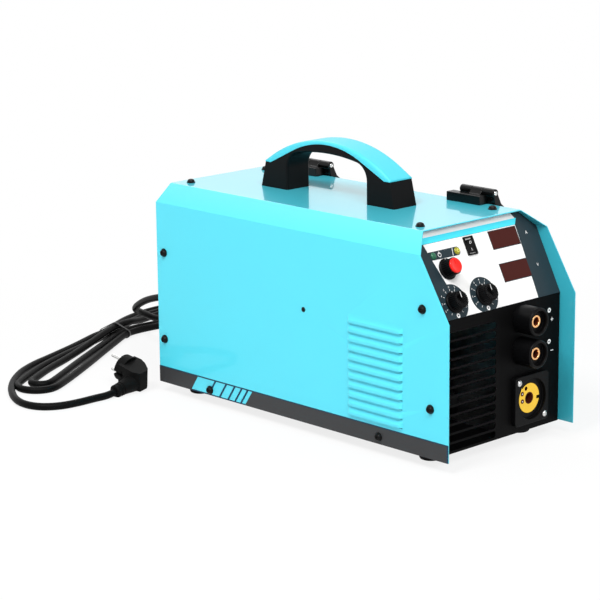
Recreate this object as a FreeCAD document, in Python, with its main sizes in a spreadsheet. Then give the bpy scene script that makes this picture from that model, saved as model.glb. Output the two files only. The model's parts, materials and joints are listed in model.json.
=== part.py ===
import FreeCAD, Part

import math
import os

import Sketcher

# A compact portable MIG welding machine. Across is X, the front looks along -Y and the
# floor is Z = 0. Case places are measured across from the middle, back from the front
# edge of the side walls and up from the lower edge of the sheet.

V = FreeCAD.Vector
doc = FreeCAD.newDocument("MigWelder")
table = doc.addObject("Spreadsheet::Sheet", "Sizes")
entered = []
nodes = []


class Size:
    """A number together with the sheet expression that gives it."""

    def __init__(self, value, text):
        self.value = float(value)
        self.text = text

    def __add__(self, other):
        other = as_size(other)
        return Size(self.value + other.value, "(%s + %s)" % (self.text, other.text))

    def __radd__(self, other):
        return as_size(other) + self

    def __sub__(self, other):
        other = as_size(other)
        return Size(self.value - other.value, "(%s - %s)" % (self.text, other.text))

    def __rsub__(self, other):
        return as_size(other) - self

    def __mul__(self, other):
        other = as_size(other)
        return Size(self.value * other.value, "(%s * %s)" % (self.text, other.text))

    def __rmul__(self, other):
        return as_size(other) * self

    def __truediv__(self, other):
        other = as_size(other)
        return Size(self.value / other.value, "(%s / %s)" % (self.text, other.text))

    def __neg__(self):
        return Size(0 - self.value, "(0 - %s)" % self.text)


def as_size(amount):
    """Let a plain number stand where a size is wanted."""
    if isinstance(amount, Size):
        return amount
    return Size(amount, "(%r)" % float(amount))


def size(name, value):
    """Enter one named size in the sheet."""
    entered.append(name)
    row = len(entered)
    table.set("A%d" % row, name.replace("_", " "))
    table.set("B%d" % row, repr(float(value)))
    table.setAlias("B%d" % row, name)
    return Size(value, "Sizes." + name)


def places(name, pairs):
    """Enter a list of places, two sizes for each."""
    return [
        (size("%s_%s_a" % (name, mark), a), size("%s_%s_b" % (name, mark), b))
        for mark, (a, b) in zip(("one", "two", "three", "four", "five", "six"), pairs)
    ]


def sine(angle):
    return Size(math.sin(math.radians(angle.value)), "sin(%s)" % angle.text)


def cosine(angle):
    return Size(math.cos(math.radians(angle.value)), "cos(%s)" % angle.text)


def tangent(angle):
    return Size(math.tan(math.radians(angle.value)), "tan(%s)" % angle.text)


def root(amount):
    return Size(math.sqrt(amount.value), "sqrt(%s)" % amount.text)


# Case
case_width = size("case_width", 206.7)
case_length = size("case_length", 470)
case_height = size("case_height", 239.5)
chamfer_across = size("chamfer_across", 24.15)
chamfer_drop = size("chamfer_drop", 19.9)
sheet = size("sheet_thickness", 1.2)
tray_sheet = size("tray_thickness", 1.5)
tray_lip = size("tray_lip", 18)
moving_gap = size("moving_gap", 0.3)
bearing_gap = size("bearing_gap", 0.05)
front_reach = size("front_reach", 5)
rear_reach = size("rear_reach", 12)
wing_low = size("wing_low", 41.9)
wing_top = size("wing_top", 61)
panel_depth = size("panel_depth", 21)
fold_share = size("fold_share", 0.6167)
wing_knee_rise = size("wing_knee_rise", 3.2)
panel_slope = size("panel_slope", 27)
flange_width = size("flange_width", 12)
top_flange_half = size("top_flange_half", 70)
rear_recess = size("rear_recess", 23)
rear_flange = size("rear_flange", 17)
partition_across = size("partition_across", 16)
partition_low_front = size("partition_low_front", 60)
partition_high_front = size("partition_high_front", 110)
partition_step = size("partition_step", 135)
seam_gap = size("seam_gap", 0.4)
door_start = size("door_start", 1.2)
door_foot = size("door_foot", 1)
rear_depth = case_length - rear_recess
fold_height = case_height * fold_share
wing_knee = fold_height + wing_knee_rise
panel_length = (case_height - sheet - fold_height) / cosine(panel_slope)
panel_spread = panel_length / size("panel_drawn", 101.683)

# Feet
foot_height = size("foot_height", 12.5)
foot_radius = size("foot_radius", 13.5)
foot_tip_radius = size("foot_tip_radius", 12.4)
foot_across = size("foot_across", 72.4)
foot_front = size("foot_front", 54)
foot_rear = rear_depth - size("foot_rear_gap", 15)
foot_recess_radius = size("foot_recess_radius", 6)
foot_recess_depth = size("foot_recess_depth", 6)
foot_screw_radius = size("foot_screw_radius", 2.5)
foot_screw_head = size("foot_screw_head", 4.8)

# Air slots, louvres and the band
slot_count = 13
slot_low = size("slot_low", 6.9)
slot_pitch = size("slot_pitch", 10.27)
slot_height = size("slot_height", 7.4)
slot_left = size("slot_left", -97)
slot_right = size("slot_right", -4.3)
slot_round = size("slot_round", 3)
louvre_count = 11
louvre_low = size("louvre_low", 25.5)
louvre_pitch = size("louvre_pitch", 10.43)
louvre_height = size("louvre_height", 8)
louvre_front = size("louvre_front", 66.6)
louvre_rear = size("louvre_rear", 149)
louvre_bulge = size("louvre_bulge", 3.2)
louvre_skin = size("louvre_skin", 0.9)
louvre_slant = size("louvre_slant", 4)
louvre_ridge = size("louvre_ridge", 3)
band_height = size("band_height", 20)
band_skin = size("band_skin", 0.3)
band_margin = size("band_margin", 1.4)
stripe_lean = size("stripe_lean", 13.5)
stripe_line = size("stripe_line", 2.8)
stripe_edges = [
    size("stripe_edge_" + mark, depth)
    for mark, depth in (
        ("one", 399.8),
        ("two", 368.5),
        ("three", 349.6),
        ("four", 334.8),
        ("five", 322.8),
        ("six", 312.6),
        ("seven", 304.8),
    )
]

# Cover screws
rear_screws = places("rear_screw", ((13, 160), (11, 54)))
side_screws = [(case_length - gap, height) for gap, height in rear_screws]
side_screws += places("side_screw", ((379, 6.4), (102.5, 8.2), (26, 55), (38, 162)))
top_rear_screws = places("top_rear_screw", ((-62.5, 17.4), (57, 19)))
top_screws = [(across, case_length - gap) for across, gap in top_rear_screws]
top_screws += places("top_screw", ((-64, 78.4), (59, 84)))
rivet_place = places("rivet", ((219, 131),))[0]
screw_head_radius = size("screw_head_radius", 5.15)
screw_head_height = size("screw_head_height", 4.4)
screw_shank_radius = size("screw_shank_radius", 2)
screw_shank_length = size("screw_shank_length", 9)
rivet_head_radius = size("rivet_head_radius", 3)

# Handle
handle_middle = case_length / 2 + size("handle_offset", 34)
handle_half_width = size("handle_half_width", 18)
handle_half_base = size("handle_half_base", 108)
handle_half_seat = size("handle_half_seat", 100.5)
handle_half_step = size("handle_half_step", 92)
handle_seat_height = size("handle_seat_height", 29.7)
handle_half_shoulder = size("handle_half_shoulder", 52)
handle_shoulder_height = size("handle_shoulder_height", 49)
handle_seat_arc = size("handle_seat_arc", 125.3)
handle_half_gap = size("handle_half_gap", 64)
handle_gap_height = size("handle_gap_height", 50.2)
handle_corner_arc = size("handle_corner_arc", 20)
handle_arch_arc = size("handle_arch_arc", 260)
cap_half_length = size("cap_half_length", 104)
cap_end_height = size("cap_end_height", 35.6)
cap_arc = size("cap_arc", 193.1)
cap_round = size("cap_round", 5)
handle_round = size("handle_round", 2.5)

# Hinges
hinge_front = size("hinge_front", 100)
hinge_rear = case_length - size("hinge_rear_gap", 108)
hinge_length = size("hinge_length", 50)
hinge_offset = size("hinge_offset", 8.5)
hinge_across = size("hinge_across", 82)
hinge_rise = size("hinge_rise", 12.5)
hinge_knuckle_radius = size("hinge_knuckle_radius", 4.7)
hinge_pin_radius = size("hinge_pin_radius", 2.5)
hinge_pin_overhang = size("hinge_pin_overhang", 0.9)
hinge_leaf_left = size("hinge_leaf_left", 64.6)
hinge_leaf_right = size("hinge_leaf_right", 76.8)
hinge_leaf_height = size("hinge_leaf_height", 10.2)
door_leaf_thickness = size("door_leaf_thickness", 7.9)
door_leaf_start = size("door_leaf_start", 9)
door_leaf_end = size("door_leaf_end", 26)
door_leaf_edge = size("door_leaf_edge", 2.5)
door_web_start = size("door_web_start", 3.5)

# Latches
latch_front_depth = size("latch_front_depth", 110)
latch_rear_depth = case_length - size("latch_rear_gap", 105)
latch_height = size("latch_height", 32)
latch_head_radius = size("latch_head_radius", 11)
latch_head_thickness = size("latch_head_thickness", 4.5)
latch_shaft_radius = size("latch_shaft_radius", 4)
latch_slot_width = size("latch_slot_width", 2.6)
latch_slot_depth = size("latch_slot_depth", 2)
latch_slot_half = size("latch_slot_half", 8.5)
latch_cam_length = size("latch_cam_length", 20)
latch_cam_half = size("latch_cam_half", 4.5)
latch_cam_thickness = size("latch_cam_thickness", 3)

# Slanted panel: overlay, rocker, lamps, displays and knobs (u across, v up the slope)
overlay_skin = size("overlay_skin", 0.5)
overlay_half = size("overlay_half", 101.5)
overlay_low = size("overlay_low", 0.6)
overlay_shoulder = panel_length - size("overlay_shoulder_gap", 22.383)
overlay_top = panel_length - size("overlay_top_gap", 1.283)
overlay_top_half = size("overlay_top_half", 78.4)
rocker_u = size("rocker_u", -12)
rocker_v = size("rocker_v", 73.7) * panel_spread
rocker_bezel_half_u = size("rocker_bezel_half_u", 7.5)
rocker_bezel_half_v = size("rocker_bezel_half_v", 10.5)
rocker_tilt = size("rocker_tilt", 8)
green_u = size("green_u", -70.6)
yellow_u = size("yellow_u", -33.5)
lamp_v = size("lamp_v", 71.5) * panel_spread
green_radius = size("green_radius", 3.5)
yellow_radius = size("yellow_radius", 4.3)
lamp_stem_radius = size("lamp_stem_radius", 2.6)
lamp_rise = size("lamp_rise", 2.6)
display_u = size("display_u", 44.5)
display_upper_v = size("display_upper_v", 74) * panel_spread
display_lower_v = size("display_lower_v", 36.3) * panel_spread
display_width = size("display_width", 44.4)
display_height = size("display_height", 20)
display_rise = size("display_rise", 0.4)
current_knob_u = size("current_knob_u", -57.6)
current_knob_v = size("current_knob_v", 54.5) * panel_spread
dial_v = size("dial_v", 18.1) * panel_spread
voltage_knob_u = size("voltage_knob_u", -64.6)
inductance_knob_u = size("inductance_knob_u", -16.7)
knob_radius = size("knob_radius", 10.2)
knob_top_radius = size("knob_top_radius", 9)
knob_skirt_radius = size("knob_skirt_radius", 12)
knob_skirt_height = size("knob_skirt_height", 2.6)
knob_height = size("knob_height", 13)
knob_shaft_radius = size("knob_shaft_radius", 3)
knob_shaft_depth = size("knob_shaft_depth", 11.5)
knob_cap_radius = size("knob_cap_radius", 8.4)
knob_cap_height = size("knob_cap_height", 2)
knob_mark_width = size("knob_mark_width", 1.4)
board_half = size("board_half", 80)
board_low = size("board_low", 8)
board_high = size("board_high", 95) * panel_spread
board_behind = size("board_behind", 20.4)
board_thickness = size("board_thickness", 1.6)
pot_radius = size("pot_radius", 8)
bushing_radius = size("bushing_radius", 5)

# Output sockets and torch connector
socket_across = size("socket_across", 36.7)
socket_radius = size("socket_radius", 15.9)
socket_reach = size("socket_reach", 26)
socket_top_share = size("socket_top_share", 0.0957)
socket_gap_share = size("socket_gap_share", 0.2394)
socket_recess_radius = size("socket_recess_radius", 12.5)
socket_recess_depth = size("socket_recess_depth", 5.5)
socket_neck_radius = size("socket_neck_radius", 12)
contact_radius = size("contact_radius", 7.3)
contact_bore = size("contact_bore", 4.5)
contact_bore_depth = size("contact_bore_depth", 27)
contact_chamfer = size("contact_chamfer", 0.6)
contact_reach = size("contact_reach", 1)
torch_across = size("torch_across", 49.5)
torch_height = size("torch_height", 37.3)
torch_flange_half = size("torch_flange_half", 28)
torch_flange_thickness = size("torch_flange_thickness", 6)
torch_flange_round = size("torch_flange_round", 5)
torch_recess_radius = size("torch_recess_radius", 23.3)
torch_recess_depth = size("torch_recess_depth", 4.5)
torch_face_radius = size("torch_face_radius", 17)
torch_face_reach = size("torch_face_reach", 1.7)
torch_bore = size("torch_bore", 6)
torch_bore_depth = size("torch_bore_depth", 22)
torch_inside = size("torch_inside", 23)
torch_neck_radius = size("torch_neck_radius", 8)
torch_screw_offset = size("torch_screw_offset", 21.3)
torch_screw_radius = size("torch_screw_radius", 3.4)
torch_pin_radius = size("torch_pin_radius", 1.6)
socket_room = fold_height - torch_height - torch_flange_half - socket_radius * 4
socket_upper = fold_height - socket_radius - socket_room * socket_top_share
socket_lower = socket_upper - socket_radius * 2 - socket_room * socket_gap_share
torch_pins = places("torch_pin", ((-11.7, 6.6), (-11.4, -2)))
torch_hole = places("torch_hole", ((-5.3, 11.6),))[0]

# Wire feeder
feeder_front = size("feeder_front", 72)
feeder_rear = size("feeder_rear", 160)
feeder_top = size("feeder_top", 72)
feeder_plate = size("feeder_plate", 4)
feeder_block_right = size("feeder_block_right", 58)
feeder_block_half = size("feeder_block_half", 9)
feeder_front_block = size("feeder_front_block", 16)
feeder_rear_block = size("feeder_rear_block", 22)
roll_depth = size("roll_depth", 112)
drive_radius = size("drive_radius", 15)
roll_width = size("roll_width", 10)
drive_shaft_radius = size("drive_shaft_radius", 4)
pressure_radius = size("pressure_radius", 11)
pressure_pin_radius = size("pressure_pin_radius", 3)
guide_radius = size("guide_radius", 2.6)
guide_gap = size("guide_gap", 10.5)
arm_pivot_depth = size("arm_pivot_depth", 150)
arm_pivot_rise = size("arm_pivot_rise", 22)
arm_pin_radius = size("arm_pin_radius", 3)
arm_cheek = size("arm_cheek", 3)
arm_bridge_rise = size("arm_bridge_rise", 27)
arm_bridge_thickness = size("arm_bridge_thickness", 4)
arm_front = size("arm_front", 76)
lever_pivot_depth = size("lever_pivot_depth", 82)
lever_pivot_drop = size("lever_pivot_drop", 0.3)
lever_lean = size("lever_lean", 45)
lever_rod_radius = size("lever_rod_radius", 2.5)
lever_length = size("lever_length", 56)
lever_knob_radius = size("lever_knob_radius", 8)
lever_knob_length = size("lever_knob_length", 28.5)
motor_radius = size("motor_radius", 19)
motor_length = size("motor_length", 72)

# Spool
spool_depth = rear_depth - size("spool_rear_gap", 117)
spool_height = size("spool_height", 120)
spool_radius = size("spool_radius", 100)
spool_width = size("spool_width", 55)
spool_start = size("spool_start", 22)
spool_flange = size("spool_flange", 3)
spool_bore = size("spool_bore", 25)
spool_core = size("spool_core", 50)
winding_radius = size("winding_radius", 86)
axle_radius = size("axle_radius", 24.92)
axle_flange_radius = size("axle_flange_radius", 38)
axle_flange_thickness = size("axle_flange_thickness", 4)
axle_length = size("axle_length", 64)

# Electronics side
fan_across = size("fan_across", -45)
fan_height = size("fan_height", 160)
fan_half = size("fan_half", 40)
fan_depth = size("fan_depth", 25)
fan_duct_radius = size("fan_duct_radius", 38.5)
fan_blade_radius = size("fan_blade_radius", 36.4)
fan_hub_radius = size("fan_hub_radius", 16)
fan_shaft_radius = size("fan_shaft_radius", 1.5)
fan_blade_chord = size("fan_blade_chord", 15)
fan_blade_thickness = size("fan_blade_thickness", 1.6)
fan_blade_tilt = size("fan_blade_tilt", 36)
guard_wire = size("guard_wire", 1)
guard_ring = size("guard_ring", 10)
inverter_low = size("inverter_low", 100)
inverter_front = size("inverter_front", 110)
inverter_rear = rear_depth - size("inverter_rear_gap", 47)
heatsink_height = size("heatsink_height", 55)
heatsink_length = size("heatsink_length", 110)
heatsink_width = size("heatsink_width", 70)
heatsink_base = size("heatsink_base", 8)
heatsink_fin = size("heatsink_fin", 2.2)
capacitor_radius = size("capacitor_radius", 16)
capacitor_height = size("capacitor_height", 45)
transformer_across = size("transformer_across", -55)
transformer_depth = size("transformer_depth", 290)
core_half_width = size("core_half_width", 30)
core_half_length = size("core_half_length", 40)
core_top = size("core_top", 72)
coil_half_width = size("coil_half_width", 23)
coil_half_length = size("coil_half_length", 52)
coil_low = size("coil_low", 16)
coil_top = size("coil_top", 60)

# Rear fittings
gland_across = size("gland_across", -15)
gland_height = size("gland_height", 78)
gland_radius = size("gland_radius", 12)
gland_reach = size("gland_reach", 26)
switch_across = size("switch_across", -70)
switch_height = size("switch_height", 70)
gas_across = size("gas_across", 60)
gas_height = size("gas_height", 32)
gas_hex_radius = size("gas_hex_radius", 9)
gas_barb_radius = size("gas_barb_radius", 4.5)
gas_tip_radius = size("gas_tip_radius", 3.4)

# Mains cord, lying on the floor behind the machine
cord_radius = size("cord_radius", 4.5)
hank_across = size("hank_across", 42)
hank_depth = size("hank_depth", 735)
hank_turn = size("hank_turn", 30.6)
tie_place = size("tie_place", -32)
tie_width = size("tie_width", 4)
tie_thickness = size("tie_thickness", 0.85)
tie_slack = size("tie_slack", 0.85)
plug_across = size("plug_across", -121.4)
plug_depth = size("plug_depth", 518)
plug_height = size("plug_height", 24)
plug_radius = size("plug_radius", 16.5)
plug_face = size("plug_face", 12)
plug_half = size("plug_half", 12.5)
plug_yaw = 7.5
plug_pitch = 12.0
plug_roll = -9.5
pin_radius = size("pin_radius", 2.4)
pin_length = size("pin_length", 19)
pin_half_spacing = size("pin_half_spacing", 9.5)
pin_root_radius = size("pin_root_radius", 1.9)
pin_step = size("pin_step", 0.6)
cord_datum = size("cord_datum", 448.2)

half = case_width / 2
inner = half - sheet
shoulder = case_height - chamfer_drop
top_half = half - chamfer_across
under_top = case_height - sheet
chamfer_length = root(chamfer_across * chamfer_across + chamfer_drop * chamfer_drop)
chamfer_x = chamfer_across / chamfer_length
chamfer_z = chamfer_drop / chamfer_length
bend_low = sheet * (chamfer_length - chamfer_drop) / chamfer_across
bend_top = sheet * (chamfer_length - chamfer_across) / chamfer_drop
case_front = front_reach - (case_length + front_reach + rear_reach) / 2
panel_back = panel_depth + sheet
fold_inside = fold_height - sheet * tangent(panel_slope / 2)
panel_top_depth = panel_depth + (under_top - fold_height) * tangent(panel_slope)
panel_inner = inner - moving_gap
rear_face = rear_depth + sheet

WAYS = {
    "up": (V(1, 0, 0), 0),
    "down": (V(1, 0, 0), 180),
    "right": (V(0, 1, 0), 90),
    "left": (V(0, 1, 0), -90),
    "back": (V(1, 0, 0), -90),
    "front": (V(1, 0, 0), 90),
    "rear_panel": (V(0, 1, 1), 180),
}


def bind(item, path, amount):
    """Tie one property to the sheet."""
    item.setExpression(path, as_size(amount).text)


def stand(item, x, y, z, way="up"):
    """Stand a piece at a point, its own height pointing the given way."""
    axis, angle = WAYS[way]
    item.Placement = FreeCAD.Placement(V(0, 0, 0), FreeCAD.Rotation(axis, angle))
    bind(item, "Placement.Base.x", x)
    bind(item, "Placement.Base.y", y)
    bind(item, "Placement.Base.z", z)
    return item


def place(item, x, y, z, way="up"):
    """Stand a piece at a place on the case."""
    return stand(item, x, case_front + y, foot_height + z, way)


def on_panel(item, u, v, w):
    """Stand a piece on the slanted panel: across, up the slope and out of the face."""
    s = sine(panel_slope)
    c = cosine(panel_slope)
    place(item, u, panel_depth + v * s - w * c, fold_height + v * c + w * s)
    item.Placement.Rotation = FreeCAD.Rotation(V(1, 0, 0), 90 - panel_slope.value)
    bind(item, "Placement.Rotation.Angle", 90 - panel_slope)
    return item


def block(name, x, y, z):
    """A block between limits, not yet placed on the case."""
    item = doc.addObject("Part::Box", name)
    bind(item, "Length", as_size(x[1]) - x[0])
    bind(item, "Width", as_size(y[1]) - y[0])
    bind(item, "Height", as_size(z[1]) - z[0])
    return stand(item, x[0], y[0], z[0])


def box(name, x, y, z):
    """A block between limits on the case."""
    item = block(name, x, y, z)
    return place(item, x[0], y[0], z[0])


def rod(name, radius, length):
    """A cylinder along its own height."""
    item = doc.addObject("Part::Cylinder", name)
    bind(item, "Radius", radius)
    bind(item, "Height", length)
    return item


def cone(name, low, high, length):
    """A cone along its own height."""
    item = doc.addObject("Part::Cone", name)
    bind(item, "Radius1", low)
    bind(item, "Radius2", high)
    bind(item, "Height", length)
    return item


def group(name, pieces):
    """Keep several pieces together without joining them."""
    item = doc.addObject("Part::Compound", name)
    item.Links = pieces
    return item


def fuse(name, pieces):
    """Join pieces into one solid."""
    item = doc.addObject("Part::MultiFuse", name)
    item.Shapes = pieces
    item.Refine = True
    return item


def cut(name, base, *tools):
    """Take tools away from a piece, one after another."""
    for number, tool in enumerate(tools):
        last = number == len(tools) - 1
        item = doc.addObject("Part::Cut", name if last else "%sStep%d" % (name, number))
        item.Base = base
        item.Tool = tool
        base = item
    return base


def arc_between(p, q, radius):
    """The short arc from p to q, its middle to the left of the way for a radius above 0."""
    way = q - p
    side = V(0 - way.y, way.x, 0).normalize()
    rise = math.sqrt(radius * radius - way.Length * way.Length / 4)
    middle = (p + q) / 2 + side * math.copysign(rise, radius)
    first, second = (p, q) if radius > 0 else (q, p)
    start = math.atan2(first.y - middle.y, first.x - middle.x)
    end = math.atan2(second.y - middle.y, second.x - middle.x)
    if end < start:
        end += 2 * math.pi
    return Part.ArcOfCircle(Part.Circle(middle, V(0, 0, 1), abs(radius)), start, end)


def draw(body, plane, outline):
    """Sketch a closed outline with every corner tied to the sheet."""
    origin = [f for f in body.Origin.OriginFeatures if f.Role == plane][0]
    sketch = body.newObject("Sketcher::SketchObject", body.Name + "Sketch")
    sketch.AttachmentSupport = (origin, [""])
    sketch.MapMode = "FlatFace"
    corners = [V(as_size(c[0]).value, as_size(c[1]).value, 0) for c in outline]
    lines = []
    for k, corner in enumerate(outline):
        p, q = corners[k], corners[(k + 1) % len(outline)]
        radius = as_size(corner[2]) if len(corner) > 2 else None
        line = arc_between(p, q, radius.value) if radius else Part.LineSegment(p, q)
        number = sketch.addGeometry(line, False)
        turned_over = radius is not None and radius.value < 0
        lines.append((number, 2 if turned_over else 1, 1 if turned_over else 2, radius))
    for k, (number, start, end, radius) in enumerate(lines):
        follower = lines[(k + 1) % len(lines)]
        sketch.addConstraint(
            Sketcher.Constraint("Coincident", number, end, follower[0], follower[1])
        )
    for (number, start, end, radius), corner, point in zip(lines, outline, corners):
        for kind, amount, value in (
            ("DistanceX", corner[0], point.x),
            ("DistanceY", corner[1], point.y),
        ):
            index = sketch.addConstraint(
                Sketcher.Constraint(kind, -1, 1, number, start, value)
            )
            bind(sketch, "Constraints[%d]" % index, amount)
        if radius:
            index = sketch.addConstraint(
                Sketcher.Constraint("Radius", number, abs(radius.value))
            )
            length = radius if radius.value > 0 else -radius
            bind(sketch, "Constraints[%d]" % index, length)
    return sketch


def prism(name, plane, outline, length):
    """A flat outline given thickness: front and side outlines stand, plan ones lie."""
    body = doc.addObject("PartDesign::Body", name)
    role = {"front": "XZ_Plane", "side": "YZ_Plane", "plan": "XY_Plane"}[plane]
    sketch = draw(body, role, outline)
    pad = body.newObject("PartDesign::Pad", name + "Pad")
    pad.Profile = sketch
    bind(pad, "Length", length)
    pad.Reversed = plane == "front"
    body.Tip = pad
    return body


def turned(name, outline):
    """A turned piece from radii and heights."""
    body = doc.addObject("PartDesign::Body", name)
    sketch = draw(body, "XZ_Plane", outline)
    turn = body.newObject("PartDesign::Revolution", name + "Turn")
    turn.Profile = sketch
    turn.ReferenceAxis = (sketch, ["V_Axis"])
    turn.Angle = 360
    body.Tip = turn
    return body


def round_edges(body, wanted, radius):
    """Round the edges of a body that the test picks out."""
    doc.recompute()
    last = body.Tip
    names = [
        "Edge%d" % (k + 1) for k, edge in enumerate(last.Shape.Edges) if wanted(edge)
    ]
    item = body.newObject("PartDesign::Fillet", body.Name + "Round")
    item.Base = (last, names)
    bind(item, "Radius", radius)
    body.Tip = item
    return body


def node(name, item):
    """Name a finished piece."""
    item.Label = name
    nodes.append((name, item))
    return item


def pan_screw(name, head, height, shank, length):
    """A domed screw, its seat at height 0."""
    outline = [
        (0, -length),
        (shank, -length),
        (shank, 0),
        (head, 0),
        (head, height * 0.25),
        (head * 0.82, height * 0.6),
        (head * 0.5, height),
        (0, height),
    ]
    return turned(name, outline)


# Covers, tray and panels

# Left cover: left wall, chamfer and top from one sheet
cover_edge = top_half - seam_gap
cover_sheet = prism(
    "CoverSheet",
    "front",
    [
        (-half, 0),
        (-half, shoulder),
        (-top_half, case_height),
        (cover_edge, case_height),
        (cover_edge, under_top),
        (bend_top - top_half, under_top),
        (sheet - half, shoulder - bend_low),
        (sheet - half, 0),
    ],
    case_length,
)
place(cover_sheet, 0, 0, 0)
wing_outline = [
    (-5, wing_knee),
    (0, wing_knee),
    (wing_low, shoulder),
    (wing_top, case_height),
    (wing_top, case_height + 5),
    (-5, case_height + 5),
]
wing_cut = prism("WingCut", "side", wing_outline, case_width + 20)
place(wing_cut, -half - 10, 0, 0)
hoods = []
hollows = []
slots = []
for k in range(louvre_count):
    low = louvre_low + louvre_pitch * k
    hood = doc.addObject("Part::Wedge", "Hood%d" % k)
    hollow = doc.addObject("Part::Wedge", "Hollow%d" % k)
    for item, inset, drop in ((hood, 0, 0), (hollow, louvre_skin, 1)):
        bind(item, "Xmin", inset + louvre_front)
        bind(item, "Xmax", louvre_rear - inset)
        bind(item, "X2min", louvre_front + louvre_slant + inset)
        bind(item, "X2max", louvre_rear - louvre_slant - inset)
        bind(item, "Zmin", -drop)
        bind(item, "Z2min", -drop)
        bind(item, "Zmax", louvre_height - inset * 1.5)
        bind(item, "Z2max", louvre_ridge - inset)
        bind(item, "Ymin", 0)
        bind(item, "Ymax", louvre_bulge - inset)
        place(item, -half, 0, low)
        item.Placement.Rotation = FreeCAD.Rotation(V(0, 0, 1), 90)
    hoods.append(hood)
    hollows.append(hollow)
    slots.append(
        box(
            "LouvreSlot%d" % k,
            (-half - 0.1, 1 - inner),
            (louvre_front + louvre_skin + 1, louvre_rear - louvre_skin - 1),
            (low, low + louvre_height - louvre_skin * 2),
        )
    )
side_holes = []
side_pieces = []
for k, (depth, height) in enumerate(side_screws):
    hole = rod("SideHole%d" % k, screw_shank_radius, screw_shank_length + 6)
    side_holes.append(place(hole, 5 - half, depth, height, "left"))
    screw = pan_screw(
        "SideScrew%d" % k,
        screw_head_radius,
        screw_head_height,
        screw_shank_radius,
        screw_shank_length,
    )
    side_pieces.append(place(screw, -half, depth, height, "left"))
    bind(hole, "Placement.Base.x", screw_shank_length + 1 - half)
top_holes = []
for k, (across, depth) in enumerate(top_screws):
    hole = rod("TopHole%d" % k, screw_shank_radius, screw_shank_length + 6)
    place(hole, across, depth, case_height - screw_shank_length - 1)
    top_holes.append(hole)
    screw = pan_screw(
        "TopScrew%d" % k,
        screw_head_radius,
        screw_head_height,
        screw_shank_radius,
        screw_shank_length,
    )
    side_pieces.append(place(screw, across, depth, case_height))
rivet = pan_screw(
    "Rivet", rivet_head_radius, screw_head_height / 3, screw_shank_radius, sheet
)
side_pieces.append(place(rivet, -half, rivet_place[0], rivet_place[1], "left"))
rivet_hole = rod("RivetHole", screw_shank_radius, 4)
place(rivet_hole, 2 - half, rivet_place[0], rivet_place[1], "left")
screw_holes = group("ScrewHoles", side_holes + top_holes + [rivet_hole])
cover_open = cut("CoverOpen", cover_sheet, wing_cut)
cover_hooded = fuse("CoverHooded", [cover_open] + hoods)
left_cover = cut(
    "LeftCover",
    cover_hooded,
    group("Hollows", hollows),
    group("LouvreSlots", slots),
    screw_holes,
)
node("left_cover", left_cover)
node("cover_screws", group("CoverScrews", side_pieces))

# Cutters that follow the chamfers inside the covers
clear = sheet + moving_gap
line_x = half - clear * chamfer_z
line_z = shoulder - clear * chamfer_x
reach_low = half + 6 - line_x
reach_top = case_height + 6 - line_z
corner_low_z = line_z - reach_low * chamfer_drop / chamfer_across
corner_top_x = line_x - reach_top * chamfer_across / chamfer_drop
right_corner = prism(
    "RightCorner",
    "front",
    [
        (half + 6, corner_low_z),
        (half + 6, case_height + 6),
        (corner_top_x, case_height + 6),
    ],
    case_length,
)
place(right_corner, 0, 0, 0)
left_corner = prism(
    "LeftCorner",
    "front",
    [
        (-half - 6, corner_low_z),
        (-corner_top_x, case_height + 6),
        (-half - 6, case_height + 6),
    ],
    case_length,
)
place(left_corner, 0, 0, 0)
corners = group("Corners", [right_corner, left_corner])

# Base tray
tray_plate = box(
    "TrayPlate", (-inner, panel_inner), (panel_back, rear_depth), (0, tray_sheet)
)
tray_left = box(
    "TrayLeft", (-inner, tray_sheet - inner), (panel_back, rear_depth), (0, tray_lip)
)
tray_right = box(
    "TrayRight",
    (panel_inner - tray_sheet, panel_inner),
    (panel_back, rear_depth),
    (0, tray_lip),
)
feet_spots = [
    (across, depth)
    for across in (-foot_across, foot_across)
    for depth in (foot_front, foot_rear)
]
foot_holes = []
feet = []
foot_screws = []
for k, (across, depth) in enumerate(feet_spots):
    hole = rod("FootHole%d" % k, foot_screw_radius, foot_height + 10)
    foot_holes.append(place(hole, across, depth, -foot_height))
    pad = cone("FootPad%d" % k, foot_tip_radius, foot_radius, foot_height)
    place(pad, across, depth, -foot_height)
    recess = rod("FootRecess%d" % k, foot_recess_radius, foot_recess_depth)
    place(recess, across, depth, -foot_height)
    shaft = rod("FootShaft%d" % k, foot_screw_radius, foot_height)
    place(shaft, across, depth, -foot_height)
    feet.append(cut("Foot%d" % k, pad, recess, shaft))
    screw = pan_screw(
        "FootScrew%d" % k, foot_screw_head, 3, foot_screw_radius, foot_height - 2
    )
    place(screw, across, depth, foot_recess_depth - foot_height, "down")
    foot_screws.append(screw)
tray = fuse("Tray", [tray_plate, tray_left, tray_right])
base_tray = cut("BaseTray", tray, group("FootHoles", foot_holes), screw_holes)
node("base_tray", base_tray)
node("rubber_feet", group("RubberFeet", feet))
node("foot_screws", group("FootScrews", foot_screws))

# Front panel
panel_sheet = prism(
    "PanelSheet",
    "side",
    [
        (panel_depth, 0),
        (panel_depth, fold_height),
        (panel_top_depth, under_top),
        (panel_top_depth + sheet / cosine(panel_slope), under_top),
        (panel_back, fold_inside),
        (panel_back, 0),
    ],
    panel_inner * 2,
)
place(panel_sheet, -panel_inner, 0, 0)
flange_top = under_top - chamfer_drop - 12
flange_top_depth = panel_back + (flange_top - fold_inside) * tangent(panel_slope)
flange_outline = [
    (panel_back, tray_lip + 1),
    (panel_back + flange_width, tray_lip + 1),
    (panel_back + flange_width, fold_inside),
    (flange_top_depth + flange_width, flange_top),
    (flange_top_depth, flange_top),
    (panel_back, fold_inside),
]
panel_left = prism("PanelLeft", "side", flange_outline, sheet)
place(panel_left, -inner, 0, 0)
panel_right = prism("PanelRight", "side", flange_outline, sheet)
place(panel_right, panel_inner - sheet, 0, 0)
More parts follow.
